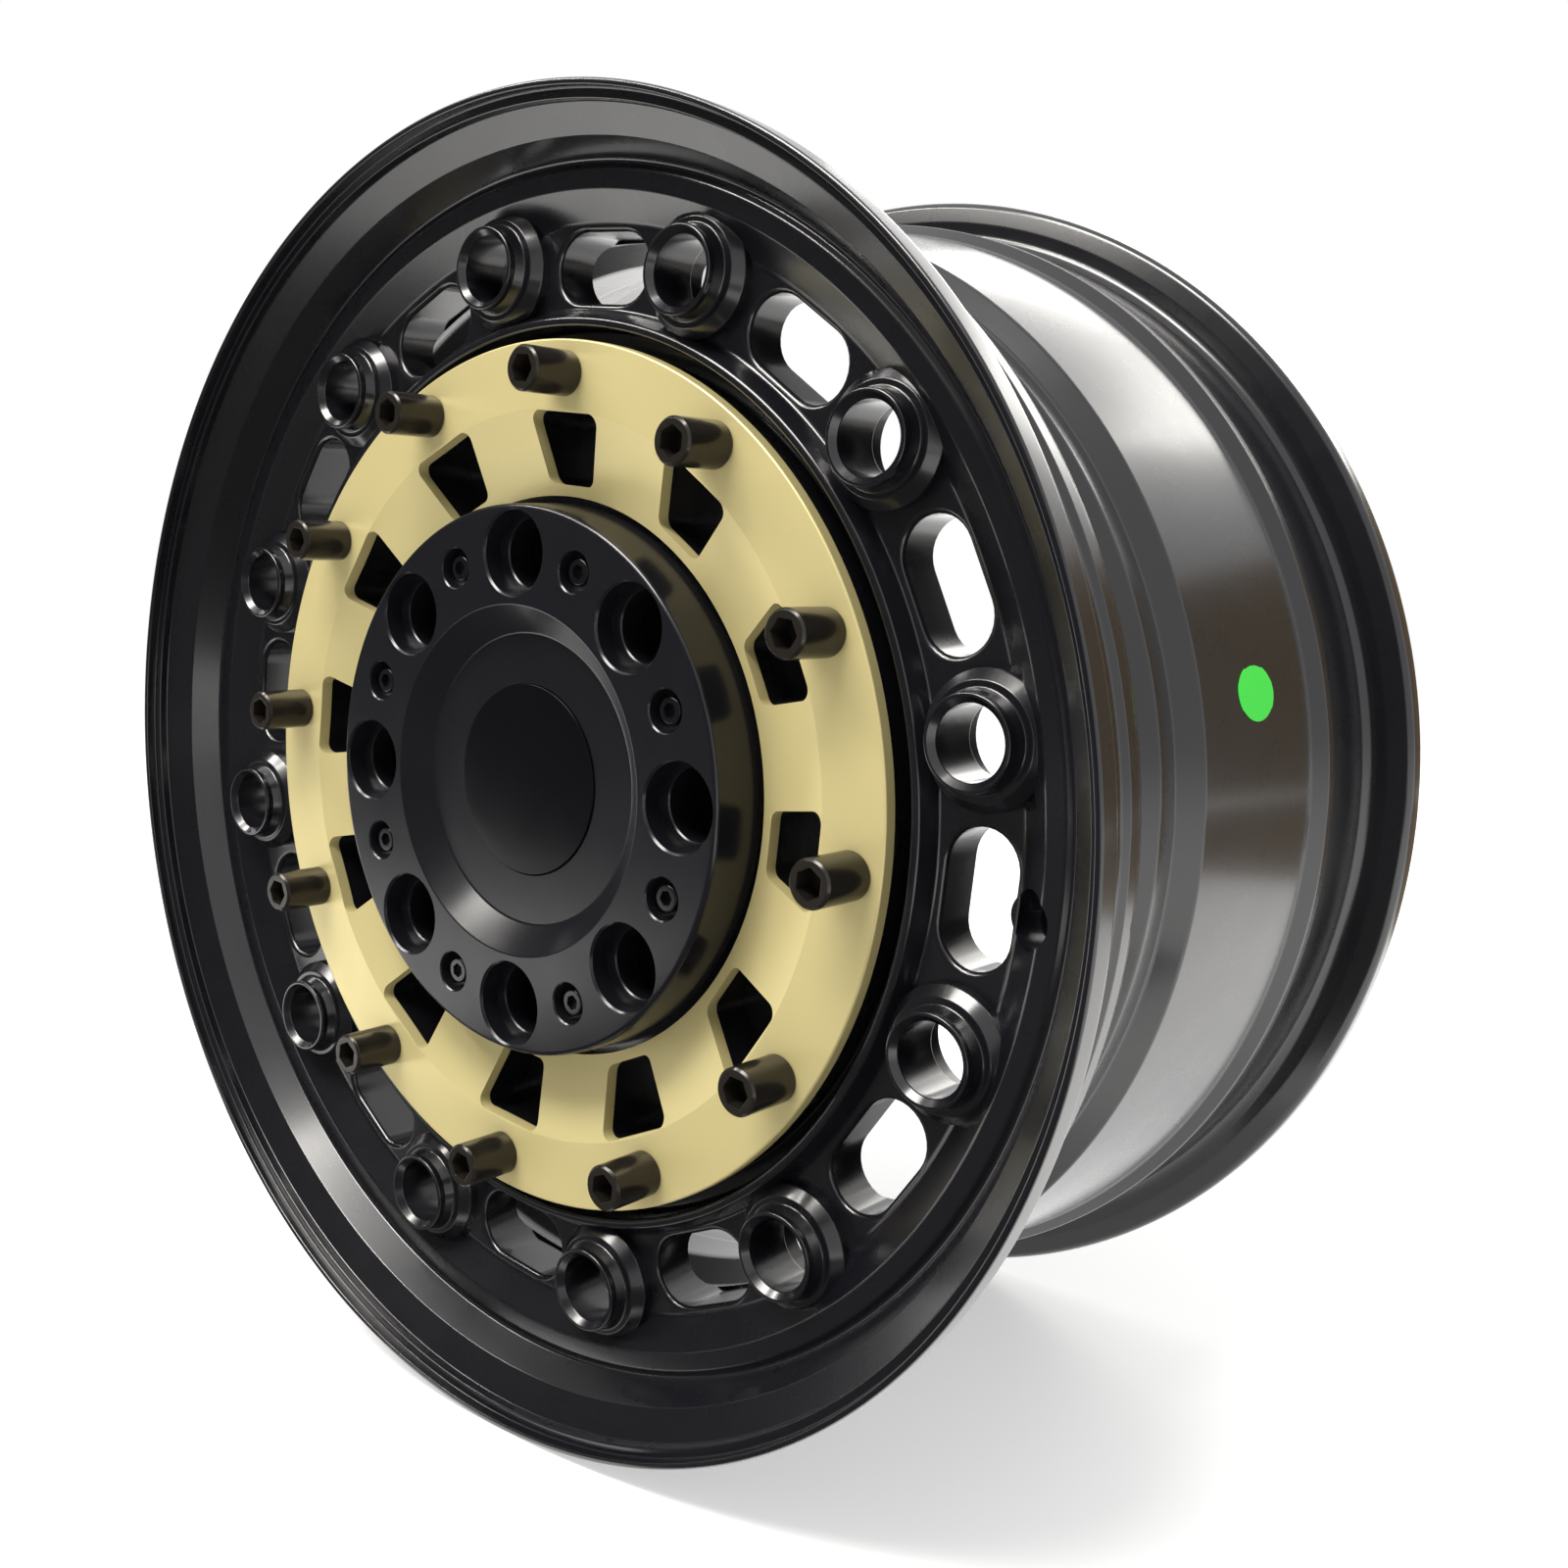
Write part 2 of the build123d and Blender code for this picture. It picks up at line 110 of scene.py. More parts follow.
# Rim and its drop centre
FLANGE_HEIGHT = 18.0
FLANGE_THICKNESS = 12.7
FLANGE_LEAN = 2.0
LIP_THICKNESS = 25.4
SEAT_RADIUS = FLANGE_RADIUS - FLANGE_HEIGHT
FRONT_SEAT_WIDTH = 20.0
REAR_SEAT_WIDTH = 31.0
HUMP_HEIGHT = 1.6
HUMP_WIDTH = 5.0
HUMP_SLOPE = 3.0
BARREL_WALL = 8.0
WELL_RADIUS = SEAT_RADIUS - 25.0
WELL_START = 79.0
WELL_END = 98.0
STEP_START = 106.0
STEP_END = 117.0
SHELF_START = 124.0
STEP_HEIGHT = 7.5
SHELF_HEIGHT = 15.0
INNER_WELL_DRAFT = 9.0
INNER_SHELF_SHIFT = 12.0

# Outer lip, from its crown inwards
CROWN_WIDTH = 10.7
NECK_DEPTH = 13.5
TIP_INNER_RADIUS = FLANGE_RADIUS - 2.6
TIP_DEPTH = 4.6
BAND_OUTER_RADIUS = TIP_INNER_RADIUS - 3.6
BAND_START = 8.4
BAND_INNER_RADIUS = BAND_OUTER_RADIUS - 9.8
BAND_END = 15.4
GROOVE_RADIUS = BAND_INNER_RADIUS - 6.4
GROOVE_DEPTH = 27.4
RIDGE_OUTER_RADIUS = GROOVE_RADIUS - 3.0
RIDGE_INNER_RADIUS = RIDGE_OUTER_RADIUS - 6.6
RIDGE_DEPTH = 25.5

# Face, bosses and windows
FEATURE_COUNT = 12
BOSS_CLOCK = -7.5
WINDOW_CLOCK = BOSS_CLOCK + 180 / FEATURE_COUNT
FACE_DEPTH = 33.5
FACE_BACK = 51.0
FACE_OUTER_RADIUS = RIDGE_INNER_RADIUS - 11.5
FACE_INNER_RADIUS = FACE_OUTER_RADIUS - 30.5
BOSS_CIRCLE_RADIUS = FACE_OUTER_RADIUS - 11.0
BOSS_MOUTH_DEPTH = 19.3
BOSS_MOUTH_FLARE = 2.1
BOSS_BORE_RADIUS = 12.2
BOSS_LIP_RADIUS = 15.6
BOSS_LIP_HEIGHT = 2.4
BOSS_UNDERCUT = 0.9
BOSS_TUBE_RADIUS = 16.6
BOSS_COLLAR_RADIUS = 22.5
BOSS_COLLAR_HEIGHT = 7.0
BOSS_COLLAR_CHAMFER = 3.6
BOSS_BACK_RADIUS = 16.5
BOSS_BACK_DEPTH = 41.0
BOSS_BURIED = 1.0
BOSS_FLARE_START = 0.1
WINDOW_CIRCLE_RADIUS = (FACE_OUTER_RADIUS + FACE_INNER_RADIUS) / 2
WINDOW_LENGTH = 46.0
WINDOW_WIDTH = 25.6
WINDOW_ROUNDING = 2.2
WINDOW_ROUNDING_STEPS = 5
WINDOW_MOUTH_LIFT = 0.01
INNER_LIP_OUTER_RADIUS = FACE_INNER_RADIUS - 3.4
INNER_LIP_INNER_RADIUS = INNER_LIP_OUTER_RADIUS - 3.4
INNER_LIP_DEPTH = 25.8
RING_GAP_DEPTH = 39.0

# Ring and studs
RING_THICKNESS = 5.0
RING_SEAT_DEPTH = RING_DEPTH + RING_THICKNESS
RING_CONE_DROP = RING_BACK - RING_SEAT_DEPTH
RING_CREASE_RADIUS = RING_RADIUS - 25.4
RING_INNER_RADIUS = CAP_BASE_RADIUS + 2.6
PEDESTAL_RADIUS = RING_RADIUS - 2.6
RING_WINDOW_OUTER = RING_CREASE_RADIUS - 0.8
RING_WINDOW_INNER = RING_INNER_RADIUS + 4.0
RING_WINDOW_OUTER_WIDTH = 36.0
RING_WINDOW_INNER_WIDTH = 22.6
RING_WINDOW_CORNER = 4.0
RING_WINDOW_PLAY = 0.6
RING_POCKET_FLOOR = 5.0
RING_POCKET_END = FACE_BACK - RING_POCKET_FLOOR
STUD_CIRCLE_RADIUS = RING_RADIUS - 12.5
STUD_RADIUS = 8.3
STUD_SOCKET_ACROSS = 9.4
STUD_SOCKET_DEPTH = 9.0
STUD_TIP_CHAMFER = 0.9
STUD_FOOT_CHAMFER = 0.4
STUD_EDGE = 0.25 * MM

# Hub, cap and screws
LUG_CLOCK = 1.7
SCREW_CLOCK = LUG_CLOCK + 180 / LUG_COUNT
LUG_POCKET_RADIUS = 14.0
LUG_SEAT_END = HUB_DEPTH - 25.0
LUG_SEAT_START = LUG_SEAT_END - (LUG_POCKET_RADIUS - LUG_HOLE_RADIUS) * math.sqrt(3)
HUB_DRAFT = 4.0
REAR_POCKET_RADIUS = 12.0
REAR_POCKET_DEPTH = 34.0
CAP_RADIUS = CAP_BASE_RADIUS - 1.0
ACCESS_RADIUS = 15.7
ACCESS_STEP_RADIUS = 13.0
ACCESS_STEP_DEPTH = CAP_FACE_DEPTH + 10.0
ACCESS_CHAMFER = 0.8
ACCESS_STEP_CHAMFER = 0.5
DISH_OUTER_RADIUS = LUG_CIRCLE_RADIUS - ACCESS_RADIUS - 3.3
DISH_FLOOR_RADIUS = DISH_OUTER_RADIUS - 10.6
DISH_FLOOR_DEPTH = CAP_FACE_DEPTH + 8.6
CAP_BACK_RADIUS = DISH_FLOOR_RADIUS + 2.6
CAP_BACK_DEPTH = DISH_FLOOR_DEPTH + 5.5
INSERT_PLAY = 0.15
INSERT_CROWN = 0.9
INSERT_RINGS = 9
INSERT_EDGE_DROP = 0.05
SCREW_POCKET_RADIUS = 7.6
SCREW_POCKET_CHAMFER = 0.5
SCREW_SEAT_DEPTH = CAP_FACE_DEPTH + 6.5
SCREW_HEAD_RADIUS = 5.0
SCREW_THREAD_RADIUS = 3.0
SCREW_SOCKET_ACROSS = 5.0
SCREW_SOCKET_DEPTH = 2.6

# Valve hole, which starts in the middle of the slope outside the face
VALVE_CLOCK = 97.5
VALVE_POCKET_RADIUS = 9.5
VALVE_HOLE_RADIUS = 5.65
VALVE_START = ((FACE_OUTER_RADIUS + RIDGE_INNER_RADIUS) / 2, (FACE_DEPTH + RIDGE_DEPTH) / 2)
VALVE_TILT = 58.0
VALVE_POCKET_DEPTH = 7.0
VALVE_CUT_PAST = 12.0
VALVE_HOLE_END = 48.0

# Barrel label
LABEL_SEGMENTS = 64
LABEL_CUTS = 5
LABEL_LIFT = 0.12 * MM
LABEL_THICKNESS = 0.15 * MM
LABEL_SMOOTH_ANGLE = 40

# Paint: unevenness of colour and gloss, orange peel and clear coat
NOISE_LOW = 0.35
NOISE_HIGH = 0.65
TINT_SCALE = 9.0
TINT_DETAIL = 3.0
TINT_CHANGE = 0.06
GLOSS_SCALE = 60.0
GLOSS_CHANGE = 0.06
PEEL_SCALE = 420.0
PEEL_DETAIL = 1.0
PEEL_STRENGTH = 0.03
PEEL_HEIGHT = 0.01 * MM
COAT_ROUGHNESS = 0.17
MIX_FACTOR_IN = 0
MIX_COLOUR_IN = (6, 7)
MIX_COLOUR_OUT = 2

# Studio floor and cards; the glow makes the floor white for the camera and in reflections
FLOOR_SIZE = 12.0
FLOOR_LEVEL = CAD_BOX[0].z
FLOOR_ROUGHNESS = 0.9
FLOOR_SPECULAR = 0.1
FLOOR_CLOUD_SCALE = 3.0
FLOOR_TINT = 0.004
FLOOR_GLOW = {"Is Camera Ray": 0.46, "Is Glossy Ray": 0.74}
CARD_LIFT = 0.002
CARD_ROUGHNESS = 0.9
CARD_CLOUD_SCALE = 2.0
CARD_TINT = 0.05
DARK_CARD = (0.03, 0.03, 0.03)
BROWN_CARD = (0.17, 0.12, 0.06)

# Camera, and lamps with their name, place, size and power, all aimed at the wheel's middle
SENSOR_WIDTH = 36.0
NEAR_CLIP = 0.01
LAMP_COLOUR = (1.0, 0.97, 0.92)
SOFTBOXES = (
    ("key_softbox", (0.0, -1.3, 2.2), (1.4, 0.7), 78),
    ("strip_softbox", (-0.9, -1.1, 1.5), (1.4, 0.12), 22),
    ("rear_softbox", (-0.1, 2.2, 1.25), (1.8, 0.7), 20),
)


class WheelSizes(bpy.types.PropertyGroup):
    """Fineness of the turned surfaces and the small label's place"""

    rim_segments: bpy.props.IntProperty(
        name="Rim segments", description="Steps round the rim", default=288, min=48)
    boss_segments: bpy.props.IntProperty(
        name="Boss segments", description="Steps round a boss, stud, screw or hole", default=48, min=12)
    insert_segments: bpy.props.IntProperty(
        name="Insert segments", description="Steps round the cap's insert", default=128, min=24)
    edge_rounding: bpy.props.FloatProperty(
        name="Edge rounding", description="Rounding of the ring's cut edges",
        default=0.5 * MM, unit="LENGTH", precision=5)
    label_length: bpy.props.FloatProperty(
        name="Label length", description="Label along the barrel", default=24 * MM, unit="LENGTH")
    label_height: bpy.props.FloatProperty(
        name="Label height", description="Label round the barrel", default=22 * MM, unit="LENGTH")
    label_depth: bpy.props.FloatProperty(
        name="Label depth", description="Label behind the front plane", default=158 * MM, unit="LENGTH")
    label_clock: bpy.props.FloatProperty(
        name="Label angle", description="Label from the top, clockwise",
        default=math.radians(81), subtype="ANGLE")


def colour_property(name, description, default):
    return bpy.props.FloatVectorProperty(
        name=name, description=description, default=default, size=3, subtype="COLOR", min=0, max=1)


class WheelFinishes(bpy.types.PropertyGroup):
    """Colours of the wheel's paints"""

    black: colour_property("Black", "Satin paint of the casting", (0.0045, 0.0045, 0.0065))
    sand: colour_property("Sand", "Paint of the centre ring", (0.57, 0.49, 0.23))
    cap: colour_property("Cap", "Paint of the centre cap", (0.006, 0.006, 0.008))
    steel: colour_property("Steel", "Blackened steel of the ring bolts", (0.020, 0.017, 0.014))
    gloss: colour_property("Gloss", "Domed insert and cap screws", (0.003, 0.003, 0.004))
    label: colour_property("Label", "Small oval label", (0.045, 0.70, 0.055))
    floor: colour_property("Floor", "Studio floor", (0.80, 0.80, 0.80))


class WheelStage(bpy.types.PropertyGroup):
    """Camera and the light of the surroundings"""

    camera_place: bpy.props.FloatVectorProperty(
        name="Camera place", description="Where the camera stands",
        default=(0.4606, -0.5226, 0.0714), subtype="TRANSLATION", unit="LENGTH")
    camera_azimuth: bpy.props.FloatProperty(
        name="Azimuth", description="Camera's turn round the wheel, from its face",
        default=math.radians(41.41), subtype="ANGLE")
    camera_elevation: bpy.props.FloatProperty(
        name="Elevation", description="How far the camera looks down",
        default=math.radians(4.82), subtype="ANGLE")
    lens: bpy.props.FloatProperty(
        name="Lens", description="Focal length on a 36 mm sensor", default=37.59, min=1)
    shift: bpy.props.FloatVectorProperty(
        name="Shift", description="Lens shift that frames the wheel", default=(0.041, -0.036), size=2)
    sky_strength: bpy.props.FloatProperty(
        name="Sky strength", description="Light of the surroundings on matt surfaces", default=0.7)


def settings(group):
    return getattr(bpy.context.scene, group)


def place(radius, depth, across=0.0):
    """Point above the axis at a radius and a depth, in metres."""
    return Vector((across, depth - HALF_WIDTH, radius)) * MM


def rounded(points, steps=CORNER_STEPS, closed=True):
    """Points of an outline whose third value, where there is one, rounds its corner with an arc."""
    path = []
    count = len(points)
    for i, point in enumerate(points):
        here = Vector(point[:2])
        inner = closed or 0 < i < count - 1
        if len(point) < 3 or not inner:
            path.append(here)
            continue
        to_before = (Vector(points[i - 1][:2]) - here).normalized()
        to_after = (Vector(points[(i + 1) % count][:2]) - here).normalized()
        half_angle = to_before.angle(to_after) / 2
        middle = (to_before + to_after).normalized()
        centre = here + middle * (point[2] / math.sin(half_angle))
        start = here + to_before * (point[2] / math.tan(half_angle)) - centre
        end = here + to_after * (point[2] / math.tan(half_angle)) - centre
        sweep = start.angle_signed(end)
        for k in range(steps + 1):
            turn = -sweep * k / steps
            spoke = Vector((start.x * math.cos(turn) - start.y * math.sin(turn),
                            start.x * math.sin(turn) + start.y * math.cos(turn)))
            path.append(centre + spoke)
    return path


def deselect_all():
    if bpy.context.object and bpy.context.object.mode != "OBJECT":
        bpy.ops.object.mode_set(mode="OBJECT")
    bpy.ops.object.select_all(action="DESELECT")


def activate(*pieces):
    """Select only these pieces and make the first one active."""
    deselect_all()
    for piece in pieces:
        piece.select_set(True)
    bpy.context.view_layer.objects.active = pieces[0]


def draw_chain(points, closed, start=Vector()):
    """Move the selected vertex from its start to a path and extrude it along that, in edit mode."""
    route = list(points) + ([points[0]] if closed else [])
    bpy.ops.transform.translate(value=route[0] - start)
    for before, after in zip(route, route[1:]):
        bpy.ops.mesh.extrude_vertices_move(TRANSFORM_OT_translate={"value": after - before})


def start_piece(name):
    """New object at the origin with one vertex, selected in edit mode."""
    deselect_all()
    bpy.ops.mesh.primitive_plane_add(size=1.0, location=(0, 0, 0))
    piece = bpy.context.object
    piece.name = name
    piece.data.name = name
    bpy.ops.object.mode_set(mode="EDIT")
    bpy.ops.mesh.select_mode(type="VERT")
    bpy.ops.mesh.select_all(action="SELECT")
    bpy.ops.mesh.merge(type="COLLAPSE")
    return piece


def close_up(piece):
    """Merge doubled points and turn the faces outwards."""
    bpy.ops.mesh.select_all(action="SELECT")
    bpy.ops.mesh.remove_doubles(threshold=MERGE_DISTANCE)
    bpy.ops.mesh.dissolve_degenerate(threshold=DEGENERATE_LENGTH)
    bpy.ops.mesh.select_all(action="SELECT")
    bpy.ops.mesh.normals_make_consistent(inside=False)
    bpy.ops.object.mode_set(mode="OBJECT")
    return piece


def turn_piece(name, outline, segments, circle_radius=0.0, closed=False):
    """Spin an outline of (radius, depth, rounding) points about its own axis."""
    piece = start_piece(name)
    path = [place(circle_radius, point.y, point.x) for point in rounded(outline, closed=closed)]
    draw_chain(path, closed)
    bpy.ops.mesh.select_all(action="SELECT")
    bpy.ops.mesh.spin(
        steps=segments, angle=2 * math.pi, center=(0, 0, circle_radius * MM), axis=(0, 1, 0))
    return close_up(piece)


def loft_piece(name, loops):
    """Bridge closed loops of points and cap both ends."""
    piece = start_piece(name)
    last = Vector()
    for i, loop in enumerate(loops):
        if i:
            bpy.ops.mesh.duplicate()
        draw_chain(loop, True, last)
        last = loop[0]
    bpy.ops.mesh.select_all(action="SELECT")
    bpy.ops.mesh.remove_doubles(threshold=MERGE_DISTANCE)
    bpy.ops.mesh.select_all(action="SELECT")
    bpy.ops.mesh.bridge_edge_loops()
    bpy.ops.mesh.select_all(action="DESELECT")
    bpy.ops.mesh.select_non_manifold(extend=False)
    bpy.ops.mesh.edge_face_add()
    return close_up(piece)


def turn_about_axis(piece, clock):
    """Turn a piece about the wheel's axis and leave its object unturned."""
    activate(piece)
    piece.rotation_euler = Euler((0, math.radians(clock), 0))
    bpy.ops.object.transform_apply(location=False, rotation=True, scale=False)


def copies_around(piece, count, clock):
    """A piece and its copies, spread evenly about the wheel's axis."""
    made = [piece]
    for i in range(1, count):
        activate(piece)
        bpy.ops.object.duplicate(linked=False)
        copy = bpy.context.object
        turn_about_axis(copy, clock + i * 360 / count)
        made.append(copy)
    turn_about_axis(piece, clock)
    return made


def join(pieces):
    activate(*pieces)
    if len(pieces) > 1:
        bpy.ops.object.join()
    return bpy.context.object


def combine(piece, tool, operation):
    """Cut with or add another closed shape, and remove it."""
    activate(piece)
    bpy.ops.object.modifier_add(type="BOOLEAN")
    modifier = piece.modifiers[-1]
    modifier.operation = operation
    modifier.object = tool
    modifier.solver = "MANIFOLD"
    bpy.ops.object.modifier_apply(modifier=modifier.name)
    bpy.data.objects.remove(tool)


def soften_edges(piece, width):
    """Bevel the sharp edges of a piece."""
    activate(piece)
    bpy.ops.object.modifier_add(type="BEVEL")
    modifier = piece.modifiers[-1]
    modifier.width = width
    modifier.segments = BEVEL_STEPS
    modifier.limit_method = "ANGLE"
    modifier.angle_limit = math.radians(BEVEL_ANGLE)
    bpy.ops.object.modifier_apply(modifier=modifier.name)


def smooth(piece, angle=SMOOTH_ANGLE):
    """Smooth shading that keeps flat faces flat."""
    activate(piece)
    bpy.ops.object.shade_smooth_by_angle(angle=math.radians(angle))
    bpy.ops.object.modifier_add(type="WEIGHTED_NORMAL")
    modifier = piece.modifiers[-1]
    modifier.keep_sharp = True
    bpy.ops.object.modifier_apply(modifier=modifier.name)


def finish_piece(piece, material, node=None):
    """Give a piece its finish and its body, and hide the node that it stands for."""
    piece.data.materials.clear()
    piece.data.materials.append(material)
    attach(piece, BODY)
    if node:
        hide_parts(node)


def new_material(name):
    """Material with its shader and the object's own coordinates."""
    material = bpy.data.materials.new(name)
    material.use_nodes = True
    tree = material.node_tree
    shader = tree.nodes["Principled BSDF"]
    where = tree.nodes.new("ShaderNodeTexCoord").outputs["Object"]
    return material, tree, shader, where


def add_noise(tree, where, scale, detail=2.0):
    noise = tree.nodes.new("ShaderNodeTexNoise")
    noise.inputs["Scale"].default_value = scale
    noise.inputs["Detail"].default_value = detail
    tree.links.new(where, noise.inputs["Vector"])
    return noise.outputs["Fac"]


def add_range(tree, value, low, high):
    """Stretch the usual span of a noise value to a range."""
    spread = tree.nodes.new("ShaderNodeMapRange")
    spread.inputs["From Min"].default_value = NOISE_LOW
    spread.inputs["From Max"].default_value = NOISE_HIGH
    spread.inputs["To Min"].default_value = low
    spread.inputs["To Max"].default_value = high
    tree.links.new(value, spread.inputs["Value"])
    return spread.outputs["Result"]


def add_tint(tree, value, colour, change):
    """Colour that varies a little between darker and lighter."""
    blend = tree.nodes.new("ShaderNodeMix")
    blend.data_type = "RGBA"
    for socket, factor in zip(MIX_COLOUR_IN, (1 - change, 1 + change)):
        shade = [min(part * factor, 1) for part in colour]
        blend.inputs[socket].default_value = (*shade, 1)
    tree.links.new(value, blend.inputs[MIX_FACTOR_IN])
    return blend.outputs[MIX_COLOUR_OUT]


def add_bump(tree, shader, height, strength, distance):
    bump = tree.nodes.new("ShaderNodeBump")
    bump.inputs["Strength"].default_value = strength
    bump.inputs["Distance"].default_value = distance
    tree.links.new(height, bump.inputs["Height"])
    tree.links.new(bump.outputs["Normal"], shader.inputs["Normal"])


def paint(name, colour, roughness, metallic=0.0, coat=0.0, specular=0.5):
    """Sprayed paint: slight unevenness of colour and gloss, faint orange peel and a clear coat."""
    material, tree, shader, where = new_material(name)
    cloud = add_noise(tree, where, TINT_SCALE, TINT_DETAIL)
    tree.links.new(add_tint(tree, cloud, colour, TINT_CHANGE), shader.inputs["Base Color"])
    grain = add_noise(tree, where, GLOSS_SCALE)
    gloss = add_range(tree, grain, roughness * (1 - GLOSS_CHANGE), roughness * (1 + GLOSS_CHANGE))
    tree.links.new(gloss, shader.inputs["Roughness"])
    skin = add_noise(tree, where, PEEL_SCALE, PEEL_DETAIL)
    add_bump(tree, shader, skin, PEEL_STRENGTH, PEEL_HEIGHT)
    shader.inputs["Metallic"].default_value = metallic
    shader.inputs["Coat Weight"].default_value = coat
    shader.inputs["Coat Roughness"].default_value = COAT_ROUGHNESS
    shader.inputs["Specular IOR Level"].default_value = specular
    return material


def black_paint():
    return paint("satin_black_paint", settings("wheel_finishes").black, 0.28, coat=0.8, specular=0.3)


def sand_paint():
    return paint("sand_satin_paint", settings("wheel_finishes").sand, 0.36, metallic=0.35)


def cap_paint():
    return paint("cap_satin_paint", settings("wheel_finishes").cap, 0.22, specular=0.45)


def dark_steel():
    return paint("blackened_steel", settings("wheel_finishes").steel, 0.22, metallic=0.4)


def black_oxide():
    return paint("black_oxide_steel", settings("wheel_finishes").gloss, 0.22, specular=0.6)


def insert_gloss():
    return paint("gloss_black_dome", settings("wheel_finishes").gloss, 0.20, specular=0.12)


def label_film():
    return paint("green_label_film", settings("wheel_finishes").label, 0.50)


def casting_outline():
    """Section of the casting: lip and face from outside in, round the hub, and back along the barrel."""
    rear_wall = WIDTH - FLANGE_THICKNESS
    inner_seat = SEAT_RADIUS - BARREL_WALL
    inner_well = WELL_RADIUS - BARREL_WALL
    flange_middle = SEAT_RADIUS + FLANGE_HEIGHT / 2
    hump = SEAT_RADIUS + HUMP_HEIGHT
    rear_hump = rear_wall - REAR_SEAT_WIDTH - HUMP_SLOPE
    front_hump = LIP_THICKNESS + FRONT_SEAT_WIDTH + HUMP_SLOPE
    cone_end = RING_SEAT_DEPTH + RING_CONE_DROP
    front = [
        (FLANGE_RADIUS, 0, 1.2),
        (TIP_INNER_RADIUS, 0, 0.8),
        (TIP_INNER_RADIUS, TIP_DEPTH, 0.6),
        (BAND_OUTER_RADIUS, TIP_DEPTH, 0.7),
        (BAND_OUTER_RADIUS, BAND_START, 0.9),
        (BAND_INNER_RADIUS, BAND_END, 1.2),
        (GROOVE_RADIUS, GROOVE_DEPTH, 1.5),
        (RIDGE_OUTER_RADIUS, RIDGE_DEPTH, 2.4),
        (RIDGE_INNER_RADIUS, RIDGE_DEPTH, 2.6),
        (FACE_OUTER_RADIUS, FACE_DEPTH, 5.0),
        (FACE_INNER_RADIUS, FACE_DEPTH, 2.0),
        (INNER_LIP_OUTER_RADIUS, INNER_LIP_DEPTH, 1.6),
        (INNER_LIP_INNER_RADIUS, INNER_LIP_DEPTH, 1.5),
        (INNER_LIP_INNER_RADIUS, RING_GAP_DEPTH, 1.5),
        (PEDESTAL_RADIUS, RING_GAP_DEPTH, 1.5),
        (PEDESTAL_RADIUS, RING_SEAT_DEPTH),
        (RING_CREASE_RADIUS, RING_SEAT_DEPTH),
        (RING_INNER_RADIUS, cone_end),
        (CAP_BASE_RADIUS, cone_end),
        (CAP_BASE_RADIUS, CAP_SEAT_DEPTH),
        (CENTRE_BORE_RADIUS, CAP_SEAT_DEPTH),
    ]
    rear = [
        (CENTRE_BORE_RADIUS, HUB_DEPTH, 0.8),
        (CAP_BASE_RADIUS, HUB_DEPTH, 2.0),
        (CAP_BASE_RADIUS + HUB_DRAFT, FACE_BACK, 9.0),
        (inner_well + INNER_WELL_DRAFT, FACE_BACK, 9.0),
        (inner_well, WELL_START, 12.0),
        (inner_well, WELL_END, 12.0),
        (inner_well + SHELF_HEIGHT, SHELF_START + INNER_SHELF_SHIFT, 12.0),
        (inner_seat, rear_wall, 12.0),
        (FLANGE_RADIUS - BARREL_WALL, WIDTH, 1.2),
    ]
    outside = [
        (FLANGE_RADIUS, WIDTH, 3.5),
        (FLANGE_RADIUS, rear_wall + FLANGE_LEAN, 3.5),
        (flange_middle, rear_wall, 5.0),
        (SEAT_RADIUS, rear_wall, 5.0),
        (SEAT_RADIUS, rear_wall - REAR_SEAT_WIDTH, 4.0),
        (hump, rear_hump, 1.8),
        (hump, rear_hump - HUMP_WIDTH, 1.8),
        (SEAT_RADIUS - HUMP_SLOPE, rear_hump - 2 * HUMP_WIDTH, 3.0),
        (WELL_RADIUS + SHELF_HEIGHT, SHELF_START, 2.5),
        (WELL_RADIUS + STEP_HEIGHT, STEP_END, 2.5),
        (WELL_RADIUS + STEP_HEIGHT, STEP_START, 2.5),
        (WELL_RADIUS, WELL_END, 7.0),
        (WELL_RADIUS, WELL_START, 7.0),
        (SEAT_RADIUS, front_hump + 2 * HUMP_WIDTH, 5.0),
        (hump, front_hump + HUMP_WIDTH, 1.8),
        (hump, front_hump, 1.8),
        (SEAT_RADIUS, LIP_THICKNESS + FRONT_SEAT_WIDTH, 4.0),
        (SEAT_RADIUS, LIP_THICKNESS, 5.0),
        (flange_middle, NECK_DEPTH, 5.0),
        (FLANGE_RADIUS, CROWN_WIDTH, 3.5),
    ]
    return front + rear + outside


def boss_outline():
    collar_top = FACE_DEPTH - BOSS_COLLAR_HEIGHT
    lip_end = BOSS_MOUTH_DEPTH + BOSS_LIP_HEIGHT
    return [
        (0, BOSS_MOUTH_DEPTH),
        (BOSS_LIP_RADIUS, BOSS_MOUTH_DEPTH, 0.8),
        (BOSS_LIP_RADIUS, lip_end, 0.3),
        (BOSS_LIP_RADIUS - BOSS_UNDERCUT, lip_end + BOSS_UNDERCUT, 0.4),
        (BOSS_TUBE_RADIUS, collar_top, 1.2),
        (BOSS_COLLAR_RADIUS - BOSS_COLLAR_CHAMFER, collar_top, 0.9),
        (BOSS_COLLAR_RADIUS, collar_top + BOSS_COLLAR_CHAMFER, 0.9),
        (BOSS_COLLAR_RADIUS, FACE_BACK - BOSS_BURIED),
        (0, FACE_BACK - BOSS_BURIED),
    ]


